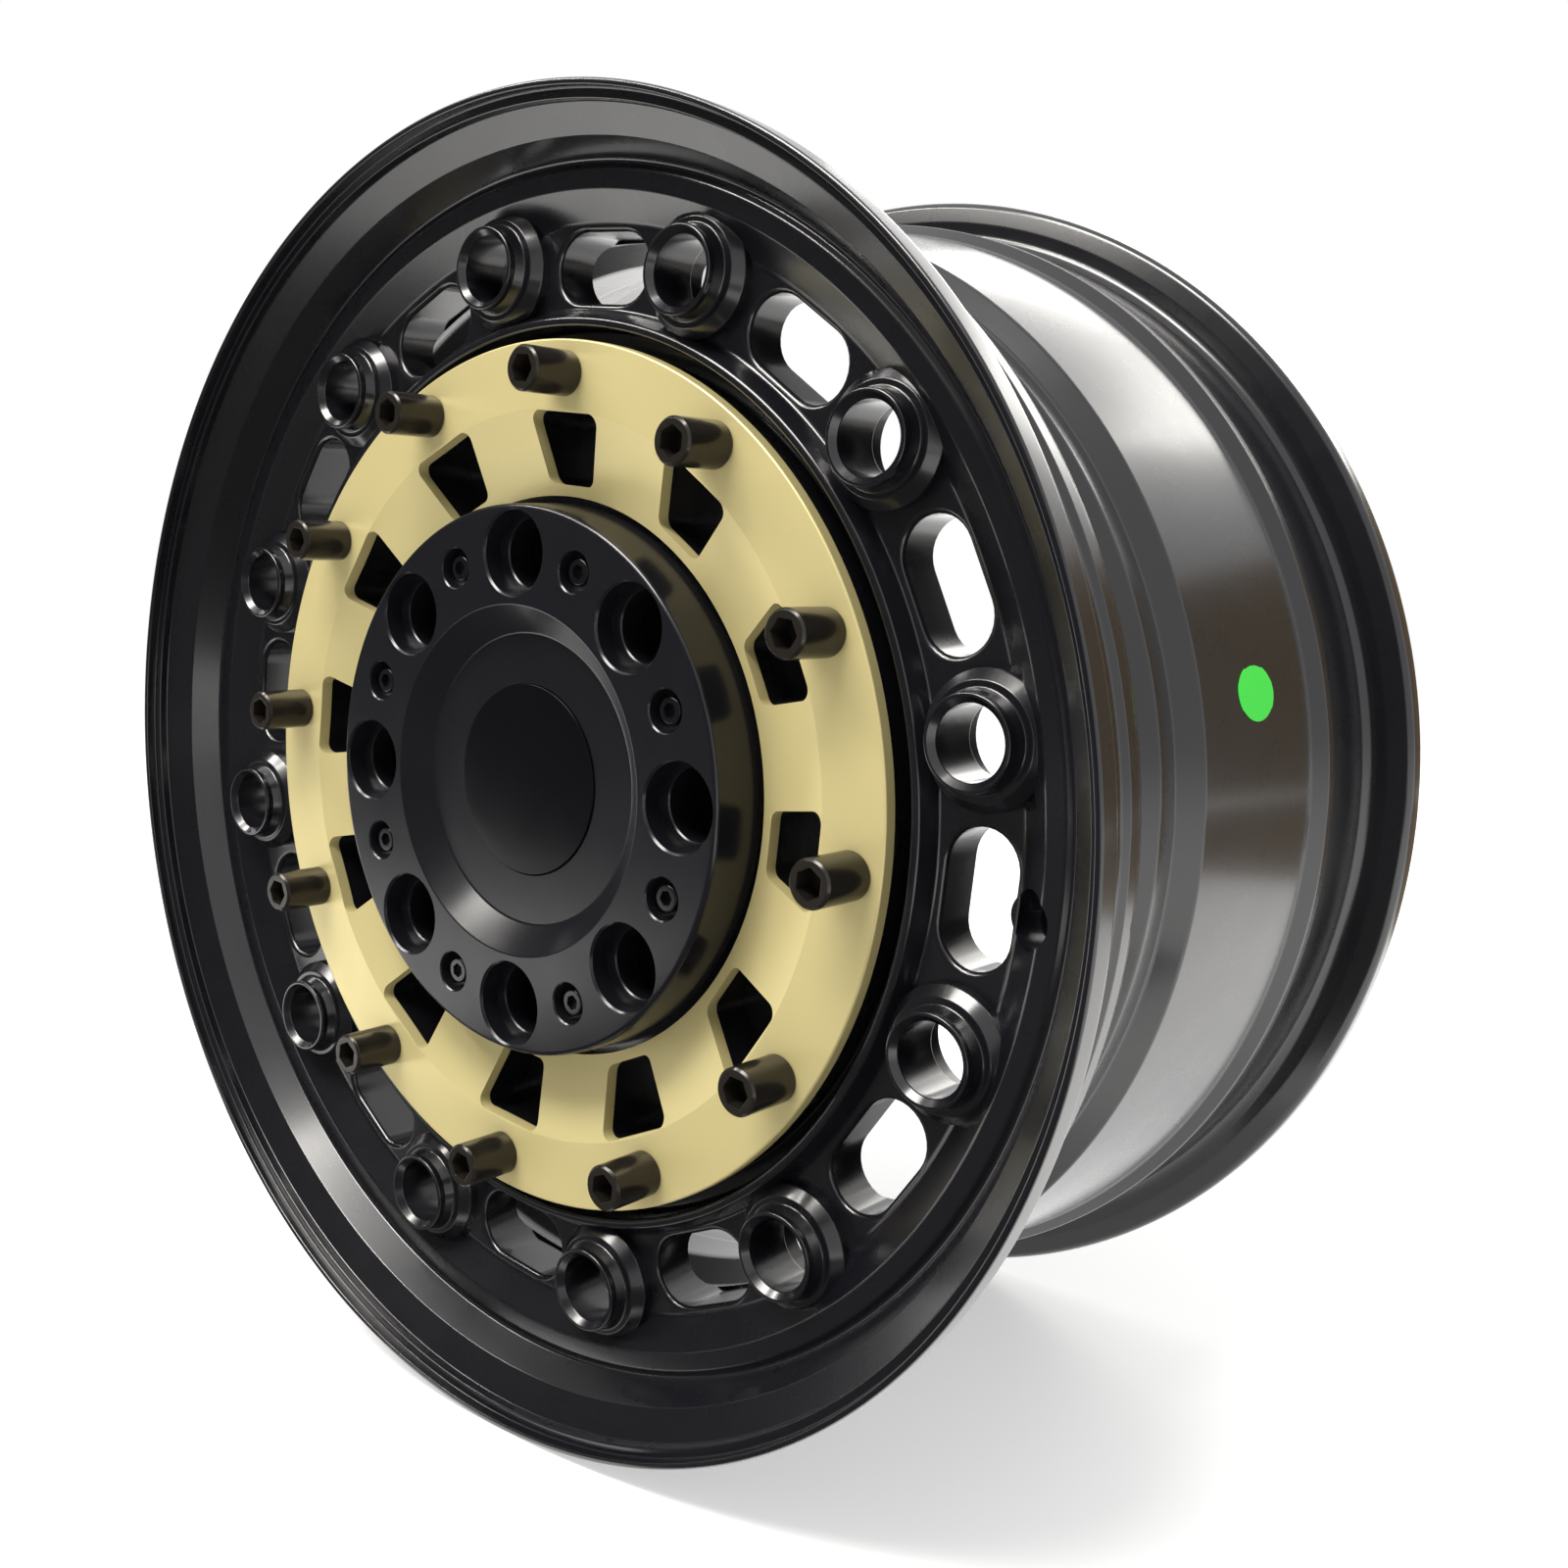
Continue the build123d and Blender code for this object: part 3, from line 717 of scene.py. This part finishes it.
def boss_bore_outline():
    mouth = BOSS_BORE_RADIUS + BOSS_MOUTH_FLARE
    return [
        (0, BOSS_MOUTH_DEPTH - CUT_PAST),
        (mouth, BOSS_MOUTH_DEPTH - CUT_PAST),
        (mouth, BOSS_MOUTH_DEPTH + BOSS_FLARE_START, 0.3),
        (BOSS_BORE_RADIUS, BOSS_MOUTH_DEPTH + BOSS_LIP_HEIGHT, 0.8),
        (BOSS_BORE_RADIUS, BOSS_BACK_DEPTH, 0.8),
        (BOSS_BACK_RADIUS, BOSS_BACK_DEPTH),
        (BOSS_BACK_RADIUS, FACE_BACK + CUT_PAST),
        (0, FACE_BACK + CUT_PAST),
    ]


def obround_loop(grow, depth):
    """Obround of the window's size, grown all round, at a depth."""
    half_straight = (WINDOW_LENGTH - WINDOW_WIDTH) / 2
    radius = WINDOW_WIDTH / 2 + grow
    loop = []
    for side in (1, -1):
        for k in range(WINDOW_ARC_STEPS + 1):
            angle = math.pi * (k / WINDOW_ARC_STEPS - 0.5)
            across = side * (half_straight + radius * math.cos(angle))
            loop.append(place(WINDOW_CIRCLE_RADIUS + side * radius * math.sin(angle), depth, across))
    return loop


def window_cutter():
    """Obround shaft whose mouth flares out in a quarter round."""
    loops = [obround_loop(WINDOW_ROUNDING, FACE_DEPTH - WINDOW_CUT_PAST)]
    mouth = FACE_DEPTH - WINDOW_MOUTH_LIFT
    for k in range(WINDOW_ROUNDING_STEPS + 1):
        angle = math.radians(90 * k / WINDOW_ROUNDING_STEPS)
        grow = WINDOW_ROUNDING * (1 - math.sin(angle))
        loops.append(obround_loop(grow, mouth + WINDOW_ROUNDING * (1 - math.cos(angle))))
    loops.append(obround_loop(0, FACE_BACK + WINDOW_CUT_PAST))
    return loft_piece("window_cutter", loops)


def ring_window_cutter(play, end_depth):
    """Tapered shaft with rounded corners, wider towards the rim."""
    outer = RING_WINDOW_OUTER + play
    inner = RING_WINDOW_INNER - play
    outer_half = RING_WINDOW_OUTER_WIDTH / 2 + play
    inner_half = RING_WINDOW_INNER_WIDTH / 2 + play
    corner = RING_WINDOW_CORNER + play
    path = rounded([
        (outer_half, outer, corner),
        (-outer_half, outer, corner),
        (-inner_half, inner, corner),
        (inner_half, inner, corner),
    ], RING_CORNER_STEPS)
    front = [place(point.y, RING_DEPTH - RING_CUT_PAST, point.x) for point in path]
    back = [place(point.y, end_depth, point.x) for point in path]
    return loft_piece("ring_window_cutter", [front, back])


def plain_hole(name, radius, start, end, circle_radius, segments):
    outline = [(0, start), (radius, start), (radius, end), (0, end)]
    return turn_piece(name, outline, segments, circle_radius)


def lug_cutter(segments):
    outline = [
        (0, CAP_SEAT_DEPTH - CUT_PAST),
        (LUG_POCKET_RADIUS, CAP_SEAT_DEPTH - CUT_PAST),
        (LUG_POCKET_RADIUS, LUG_SEAT_START),
        (LUG_HOLE_RADIUS, LUG_SEAT_END),
        (LUG_HOLE_RADIUS, HUB_DEPTH + CUT_PAST),
        (0, HUB_DEPTH + CUT_PAST),
    ]
    return turn_piece("lug_cutter", outline, segments, LUG_CIRCLE_RADIUS)


def valve_cutter(segments):
    """Pocket and hole of the valve, tilted from the face out into the tyre space."""
    outline = [
        (0, -VALVE_CUT_PAST),
        (VALVE_POCKET_RADIUS, -VALVE_CUT_PAST),
        (VALVE_POCKET_RADIUS, VALVE_POCKET_DEPTH),
        (VALVE_HOLE_RADIUS, VALVE_POCKET_DEPTH),
        (VALVE_HOLE_RADIUS, VALVE_HOLE_END),
        (0, VALVE_HOLE_END),
    ]
    shifted = [(point[0], point[1] + HALF_WIDTH) for point in outline]
    cutter = turn_piece("valve_cutter", shifted, segments)
    cutter.rotation_euler = Euler((math.radians(90 - VALVE_TILT), 0, 0))
    cutter.location = place(*VALVE_START)
    activate(cutter)
    bpy.ops.object.transform_apply(location=True, rotation=True, scale=False)
    turn_about_axis(cutter, VALVE_CLOCK)
    return cutter


class WHEEL_OT_casting(bpy.types.Operator):
    """Turn the casting, raise its bosses and cut its windows, bores and holes"""

    bl_idname = "wheel.casting"
    bl_label = "Cast wheel"

    def execute(self, context):
        sizes = settings("wheel_sizes")
        fine = sizes.boss_segments
        casting = turn_piece("rim_casting", casting_outline(), sizes.rim_segments, closed=True)
        boss = turn_piece("boss", boss_outline(), fine, BOSS_CIRCLE_RADIUS)
        bosses = join(copies_around(boss, FEATURE_COUNT, BOSS_CLOCK))
        combine(casting, bosses, "UNION")
        bore = turn_piece("bore", boss_bore_outline(), fine, BOSS_CIRCLE_RADIUS)
        cutters = copies_around(bore, FEATURE_COUNT, BOSS_CLOCK)
        cutters += copies_around(window_cutter(), FEATURE_COUNT, WINDOW_CLOCK)
        pocket = ring_window_cutter(RING_WINDOW_PLAY, RING_POCKET_END)
        cutters += copies_around(pocket, FEATURE_COUNT, WINDOW_CLOCK)
        cutters += copies_around(lug_cutter(fine), LUG_COUNT, LUG_CLOCK)
        rear_pocket = plain_hole(
            "rear_pocket", REAR_POCKET_RADIUS, HUB_DEPTH - REAR_POCKET_DEPTH, HUB_DEPTH + CUT_PAST,
            LUG_CIRCLE_RADIUS, fine)
        cutters += copies_around(rear_pocket, LUG_COUNT, SCREW_CLOCK)
        cutters.append(valve_cutter(fine))
        combine(casting, join(cutters), "DIFFERENCE")
        smooth(casting)
        finish_piece(casting, black_paint(), "wheel_casting")
        return {"FINISHED"}


class WHEEL_OT_ring(bpy.types.Operator):
    """Turn the sand-coloured ring and cut its tapered windows"""

    bl_idname = "wheel.ring"
    bl_label = "Centre ring"

    def execute(self, context):
        sizes = settings("wheel_sizes")
        outline = [
            (RING_RADIUS, RING_DEPTH, 0.9),
            (RING_RADIUS, RING_DEPTH + RING_THICKNESS),
            (RING_CREASE_RADIUS, RING_DEPTH + RING_THICKNESS),
            (RING_INNER_RADIUS, RING_BACK),
            (RING_INNER_RADIUS, RING_DEPTH + RING_CONE_DROP),
            (RING_CREASE_RADIUS, RING_DEPTH, 2.0),
        ]
        ring = turn_piece("sand_ring", outline, sizes.rim_segments, closed=True)
        window = ring_window_cutter(0, RING_BACK + RING_CUT_PAST)
        windows = copies_around(window, FEATURE_COUNT, WINDOW_CLOCK)
        combine(ring, join(windows), "DIFFERENCE")
        soften_edges(ring, sizes.edge_rounding)
        smooth(ring, RING_SMOOTH_ANGLE)
        finish_piece(ring, sand_paint(), "centre_ring")
        return {"FINISHED"}


def hex_cutter(across_flats, start, end, circle_radius):
    """Hexagon prism for a tool socket."""
    corner = across_flats / math.sqrt(3)
    path = [(corner * math.cos(math.radians(60 * k)), corner * math.sin(math.radians(60 * k)))
            for k in range(6)]
    loops = [[place(circle_radius + y, depth, x) for x, y in path] for depth in (start, end)]
    return loft_piece("hex_cutter", loops)


class WHEEL_OT_studs(bpy.types.Operator):
    """Turn one long socket-head stud, cut its socket and copy it round the ring"""

    bl_idname = "wheel.studs"
    bl_label = "Ring studs"

    def execute(self, context):
        sizes = settings("wheel_sizes")
        outline = [
            (0, STUD_TIP_DEPTH),
            (STUD_RADIUS - STUD_TIP_CHAMFER, STUD_TIP_DEPTH, 0.3),
            (STUD_RADIUS, STUD_TIP_DEPTH + STUD_TIP_CHAMFER, 0.5),
            (STUD_RADIUS, RING_DEPTH - STUD_FOOT_CHAMFER, 0.3),
            (STUD_RADIUS - STUD_FOOT_CHAMFER, RING_DEPTH),
            (0, RING_DEPTH),
        ]
        stud = turn_piece("ring_stud", outline, sizes.boss_segments, STUD_CIRCLE_RADIUS)
        socket = hex_cutter(
            STUD_SOCKET_ACROSS, STUD_TIP_DEPTH - CUT_PAST, STUD_TIP_DEPTH + STUD_SOCKET_DEPTH,
            STUD_CIRCLE_RADIUS)
        combine(stud, socket, "DIFFERENCE")
        soften_edges(stud, STUD_EDGE)
        smooth(stud)
        material = dark_steel()
        for copy in copies_around(stud, FEATURE_COUNT, WINDOW_CLOCK):
            finish_piece(copy, material, "ring_studs")
        return {"FINISHED"}


class WHEEL_OT_cap(bpy.types.Operator):
    """Turn the centre cap with its dish and cut its access holes and screw pockets"""

    bl_idname = "wheel.cap"
    bl_label = "Centre cap"

    def execute(self, context):
        sizes = settings("wheel_sizes")
        recess_radius = INSERT_RADIUS + INSERT_PLAY
        outline = [
            (0, INSERT_BACK_DEPTH),
            (recess_radius, INSERT_BACK_DEPTH),
            (recess_radius, DISH_FLOOR_DEPTH, 0.3),
            (DISH_FLOOR_RADIUS, DISH_FLOOR_DEPTH, 1.5),
            (DISH_OUTER_RADIUS, CAP_FACE_DEPTH, 1.0),
            (CAP_RADIUS, CAP_FACE_DEPTH, 2.0),
            (CAP_BASE_RADIUS, CAP_SEAT_DEPTH),
            (CAP_BACK_RADIUS, CAP_SEAT_DEPTH),
            (CAP_BACK_RADIUS, CAP_BACK_DEPTH),
            (0, CAP_BACK_DEPTH),
        ]
        cap = turn_piece("bolted_cap", outline, sizes.rim_segments)
        access = turn_piece("access_cutter", [
            (0, CAP_FACE_DEPTH - CUT_PAST),
            (ACCESS_RADIUS + ACCESS_CHAMFER, CAP_FACE_DEPTH - CUT_PAST),
            (ACCESS_RADIUS + ACCESS_CHAMFER, CAP_FACE_DEPTH),
            (ACCESS_RADIUS, CAP_FACE_DEPTH + ACCESS_CHAMFER, 0.5),
            (ACCESS_RADIUS, ACCESS_STEP_DEPTH),
            (ACCESS_STEP_RADIUS + ACCESS_STEP_CHAMFER, ACCESS_STEP_DEPTH),
            (ACCESS_STEP_RADIUS, ACCESS_STEP_DEPTH + ACCESS_STEP_CHAMFER),
            (ACCESS_STEP_RADIUS, CAP_SEAT_DEPTH + CUT_PAST),
            (0, CAP_SEAT_DEPTH + CUT_PAST),
        ], sizes.boss_segments, LUG_CIRCLE_RADIUS)
        pocket = turn_piece("pocket_cutter", [
            (0, CAP_FACE_DEPTH - CUT_PAST),
            (SCREW_POCKET_RADIUS + SCREW_POCKET_CHAMFER, CAP_FACE_DEPTH - CUT_PAST),
            (SCREW_POCKET_RADIUS + SCREW_POCKET_CHAMFER, CAP_FACE_DEPTH),
            (SCREW_POCKET_RADIUS, CAP_FACE_DEPTH + SCREW_POCKET_CHAMFER),
            (SCREW_POCKET_RADIUS, SCREW_SEAT_DEPTH),
            (0, SCREW_SEAT_DEPTH),
        ], sizes.boss_segments, LUG_CIRCLE_RADIUS)
        cutters = copies_around(access, LUG_COUNT, LUG_CLOCK)
        cutters += copies_around(pocket, LUG_COUNT, SCREW_CLOCK)
        combine(cap, join(cutters), "DIFFERENCE")
        smooth(cap)
        finish_piece(cap, cap_paint(), "centre_cap")
        return {"FINISHED"}


class WHEEL_OT_insert(bpy.types.Operator):
    """Turn the plain domed disc in the cap's middle"""

    bl_idname = "wheel.insert"
    bl_label = "Cap insert"

    def execute(self, context):
        sizes = settings("wheel_sizes")
        edge_depth = INSERT_TOP_DEPTH + INSERT_CROWN
        outline = [(0, INSERT_TOP_DEPTH)]
        for k in range(1, INSERT_RINGS):
            share = k / INSERT_RINGS
            outline.append((share * INSERT_RADIUS, edge_depth - INSERT_CROWN * (1 - share ** 2)))
        outline += [
            (INSERT_RADIUS, edge_depth + INSERT_EDGE_DROP, 0.35),
            (INSERT_RADIUS, INSERT_BACK_DEPTH),
            (0, INSERT_BACK_DEPTH),
        ]
        insert = turn_piece("domed_insert", outline, sizes.insert_segments)
        smooth(insert)
        finish_piece(insert, insert_gloss(), "cap_insert")
        return {"FINISHED"}


class WHEEL_OT_screws(bpy.types.Operator):
    """Turn one recessed socket screw and copy it round the cap"""

    bl_idname = "wheel.screws"
    bl_label = "Cap screws"

    def execute(self, context):
        sizes = settings("wheel_sizes")
        outline = [
            (0, SCREW_TOP_DEPTH),
            (SCREW_HEAD_RADIUS, SCREW_TOP_DEPTH, 0.8),
            (SCREW_HEAD_RADIUS, SCREW_SEAT_DEPTH),
            (SCREW_THREAD_RADIUS, SCREW_SEAT_DEPTH),
            (SCREW_THREAD_RADIUS, SCREW_END_DEPTH),
            (0, SCREW_END_DEPTH),
        ]
        screw = turn_piece("cap_screw", outline, sizes.boss_segments, LUG_CIRCLE_RADIUS)
        socket = hex_cutter(
            SCREW_SOCKET_ACROSS, SCREW_TOP_DEPTH - CUT_PAST, SCREW_TOP_DEPTH + SCREW_SOCKET_DEPTH,
            LUG_CIRCLE_RADIUS)
        combine(screw, socket, "DIFFERENCE")
        smooth(screw)
        material = black_oxide()
        for copy in copies_around(screw, LUG_COUNT, SCREW_CLOCK):
            finish_piece(copy, material, "cap_screws")
        return {"FINISHED"}


class WHEEL_OT_label(bpy.types.Operator):
    """Lay the plain oval label on the barrel"""

    bl_idname = "wheel.label"
    bl_label = "Barrel label"

    def execute(self, context):
        sizes = settings("wheel_sizes")
        casting = bpy.data.objects["rim_casting"]
        deselect_all()
        bpy.ops.mesh.primitive_circle_add(vertices=LABEL_SEGMENTS, radius=0.5, fill_type="TRIFAN")
        label = bpy.context.object
        label.name = "oval_label"
        label.scale = (sizes.label_height, sizes.label_length, 1)
        label.location = (0, sizes.label_depth - HALF_WIDTH * MM, FLANGE_RADIUS * MM)
        bpy.ops.object.transform_apply(location=True, rotation=True, scale=True)
        bpy.ops.object.mode_set(mode="EDIT")
        bpy.ops.mesh.select_all(action="SELECT")
        bpy.ops.mesh.subdivide(number_cuts=LABEL_CUTS)
        bpy.ops.object.mode_set(mode="OBJECT")
        turn_about_axis(label, math.degrees(sizes.label_clock))
        activate(label)
        bpy.ops.object.modifier_add(type="SHRINKWRAP")
        wrap = label.modifiers[-1]
        wrap.target = casting
        wrap.wrap_method = "NEAREST_SURFACEPOINT"
        wrap.wrap_mode = "ABOVE_SURFACE"
        wrap.offset = LABEL_LIFT
        bpy.ops.object.modifier_apply(modifier=wrap.name)
        bpy.ops.object.modifier_add(type="SOLIDIFY")
        film = label.modifiers[-1]
        film.thickness = LABEL_THICKNESS
        film.offset = 1.0
        bpy.ops.object.modifier_apply(modifier=film.name)
        smooth(label, LABEL_SMOOTH_ANGLE)
        finish_piece(label, label_film())
        return {"FINISHED"}


def floor_material():
    """White floor that keeps the wheel's shadow."""
    material, tree, shader, where = new_material("studio_floor")
    colour = settings("wheel_finishes").floor
    cloud = add_noise(tree, where, FLOOR_CLOUD_SCALE)
    tree.links.new(add_tint(tree, cloud, colour, FLOOR_TINT), shader.inputs["Base Color"])
    shader.inputs["Roughness"].default_value = FLOOR_ROUGHNESS
    shader.inputs["Specular IOR Level"].default_value = FLOOR_SPECULAR
    path = tree.nodes.new("ShaderNodeLightPath")
    shader.inputs["Emission Color"].default_value = (1, 1, 1, 1)
    glow = tree.nodes.new("ShaderNodeMath")
    glow.operation = "MAXIMUM"
    for socket, (ray, strength) in zip(glow.inputs, FLOOR_GLOW.items()):
        share = tree.nodes.new("ShaderNodeMath")
        share.operation = "MULTIPLY"
        share.inputs[1].default_value = strength
        tree.links.new(path.outputs[ray], share.inputs[0])
        tree.links.new(share.outputs[0], socket)
    tree.links.new(glow.outputs[0], shader.inputs["Emission Strength"])
    return material


def set_world():
    """White surroundings for what the camera and reflections see, softer light on matt surfaces."""
    world = bpy.data.worlds.new("white_studio")
    bpy.context.scene.world = world
    world.use_nodes = True
    tree = world.node_tree
    tree.nodes.clear()
    path = tree.nodes.new("ShaderNodeLightPath")
    seen = path.outputs["Is Camera Ray"]
    for name in ("Is Glossy Ray", "Is Transmission Ray"):
        either = tree.nodes.new("ShaderNodeMath")
        either.operation = "MAXIMUM"
        tree.links.new(seen, either.inputs[0])
        tree.links.new(path.outputs[name], either.inputs[1])
        seen = either.outputs[0]
    white = tree.nodes.new("ShaderNodeBackground")
    white.inputs["Strength"].default_value = 1.0
    white.inputs["Color"].default_value = (1, 1, 1, 1)
    soft = tree.nodes.new("ShaderNodeBackground")
    soft.inputs["Color"].default_value = (1, 1, 1, 1)
    soft.inputs["Strength"].default_value = settings("wheel_stage").sky_strength
    mix = tree.nodes.new("ShaderNodeMixShader")
    tree.links.new(seen, mix.inputs[0])
    tree.links.new(soft.outputs[0], mix.inputs[1])
    tree.links.new(white.outputs[0], mix.inputs[2])
    out = tree.nodes.new("ShaderNodeOutputWorld")
    tree.links.new(mix.outputs[0], out.inputs[0])


def add_softbox(name, location, size, power):
    """Area lamp aimed at the wheel's middle."""
    deselect_all()
    bpy.ops.object.light_add(type="AREA", location=location)
    lamp = bpy.context.object
    lamp.name = name
    lamp.data.shape = "RECTANGLE"
    lamp.data.size, lamp.data.size_y = size
    lamp.data.energy = power
    lamp.data.color = LAMP_COLOUR
    lamp.rotation_euler = (-Vector(location)).to_track_quat("-Z", "Y").to_euler()
    lamp.visible_camera = False


def add_camera():
    """Camera at the photograph's viewing angle."""
    stage = settings("wheel_stage")
    deselect_all()
    bpy.ops.object.camera_add(location=stage.camera_place)
    camera = bpy.context.object
    camera.name = "product_camera"
    turn = stage.camera_azimuth
    rise = stage.camera_elevation
    back = Vector((math.sin(turn) * math.cos(rise), -math.cos(turn) * math.cos(rise), math.sin(rise)))
    camera.rotation_euler = (-back).to_track_quat("-Z", "Y").to_euler()
    camera.data.sensor_width = SENSOR_WIDTH
    camera.data.lens = stage.lens
    camera.data.shift_x, camera.data.shift_y = stage.shift
    camera.data.clip_start = NEAR_CLIP
    bpy.context.scene.camera = camera


def add_card(name, location, target, size, material):
    """Studio card that the paint reflects and the camera doesn't see."""
    deselect_all()
    bpy.ops.mesh.primitive_plane_add(size=1.0)
    card = bpy.context.object
    card.name = name
    card.scale = (*size, 1)
    aim = Vector(target) - Vector(location)
    card.rotation_euler = aim.to_track_quat("Z", "Y").to_euler()
    card.location = location
    bpy.ops.object.transform_apply(location=True, rotation=True, scale=True)
    card.data.materials.append(material)
    card.visible_camera = False
    card.visible_shadow = False
    card.visible_diffuse = False


def add_floor_card(name, across, back, size, material):
    """Card that lies on the floor."""
    add_card(name, (across, back, FLOOR_LEVEL + CARD_LIFT), (across, back, 1.0), size, material)


def card_material(name, colour):
    material, tree, shader, where = new_material(name)
    cloud = add_noise(tree, where, CARD_CLOUD_SCALE)
    tree.links.new(add_tint(tree, cloud, colour, CARD_TINT), shader.inputs["Base Color"])
    shader.inputs["Roughness"].default_value = CARD_ROUGHNESS
    return material


class WHEEL_OT_stage(bpy.types.Operator):
    """Lay the floor and set the surroundings, lamps and camera"""

    bl_idname = "wheel.stage"
    bl_label = "Studio stage"

    def execute(self, context):
        deselect_all()
        bpy.ops.mesh.primitive_plane_add(size=FLOOR_SIZE, location=(0, 0, FLOOR_LEVEL))
        floor = bpy.context.object
        floor.name = "studio_floor"
        bpy.ops.object.transform_apply(location=True, rotation=False, scale=False)
        floor.data.materials.append(floor_material())
        set_world()
        dark = card_material("dark_card", DARK_CARD)
        brown = card_material("brown_card", BROWN_CARD)
        add_card("left_card", (-1.25, -1.45, 0.75), (0, 0, 0.35), (3.4, 2.4), dark)
        add_card("front_card", (0.75, -2.5, 0.75), (0, 0, 0.35), (2.0, 2.4), dark)
        add_floor_card("front_floor_card", 0.3, -1.7, (2.0, 1.8), dark)
        add_floor_card("near_floor_card", 0.04, -0.47, (0.92, 0.66), dark)
        add_floor_card("left_floor_card", -1.2, -1.35, (1.0, 1.1), dark)
        add_card("rear_card", (0.95, 1.9, 0.25), (0.2, 0, 0.25), (1.5, 1.1), brown)
        add_floor_card("rear_floor_card", 0.7, 1.25, (1.0, 1.2), brown)
        for softbox in SOFTBOXES:
            add_softbox(*softbox)
        add_camera()
        view = context.scene.view_settings
        view.view_transform = "Standard"
        return {"FINISHED"}


STEPS = (
    WHEEL_OT_casting, WHEEL_OT_ring, WHEEL_OT_studs, WHEEL_OT_cap, WHEEL_OT_insert,
    WHEEL_OT_screws, WHEEL_OT_label, WHEEL_OT_stage,
)


class WHEEL_PT_sidebar(bpy.types.Panel):
    """Steps and settings of the wheel"""

    bl_label = "Off-road wheel"
    bl_idname = "WHEEL_PT_sidebar"
    bl_space_type = "VIEW_3D"
    bl_region_type = "UI"
    bl_category = "Wheel"

    def draw(self, context):
        for step in STEPS:
            self.layout.operator(step.bl_idname)
        for group in GROUPS:
            holder = getattr(context.scene, group)
            for name in holder.__annotations__:
                self.layout.prop(holder, name)


GROUPS = {"wheel_sizes": WheelSizes, "wheel_finishes": WheelFinishes, "wheel_stage": WheelStage}
CLASSES = (*GROUPS.values(), *STEPS, WHEEL_PT_sidebar)


def register():
    for cls in CLASSES:
        bpy.utils.register_class(cls)
    for name, group in GROUPS.items():
        setattr(bpy.types.Scene, name, bpy.props.PointerProperty(type=group))


def unregister():
    for name in GROUPS:
        delattr(bpy.types.Scene, name)
    for cls in reversed(CLASSES):
        bpy.utils.unregister_class(cls)


def main():
    register()
    bpy.ops.wheel.casting()
    bpy.ops.wheel.ring()
    bpy.ops.wheel.studs()
    bpy.ops.wheel.cap()
    bpy.ops.wheel.insert()
    bpy.ops.wheel.screws()
    bpy.ops.wheel.label()
    bpy.ops.wheel.stage()


if __name__ == "__main__":
    main()
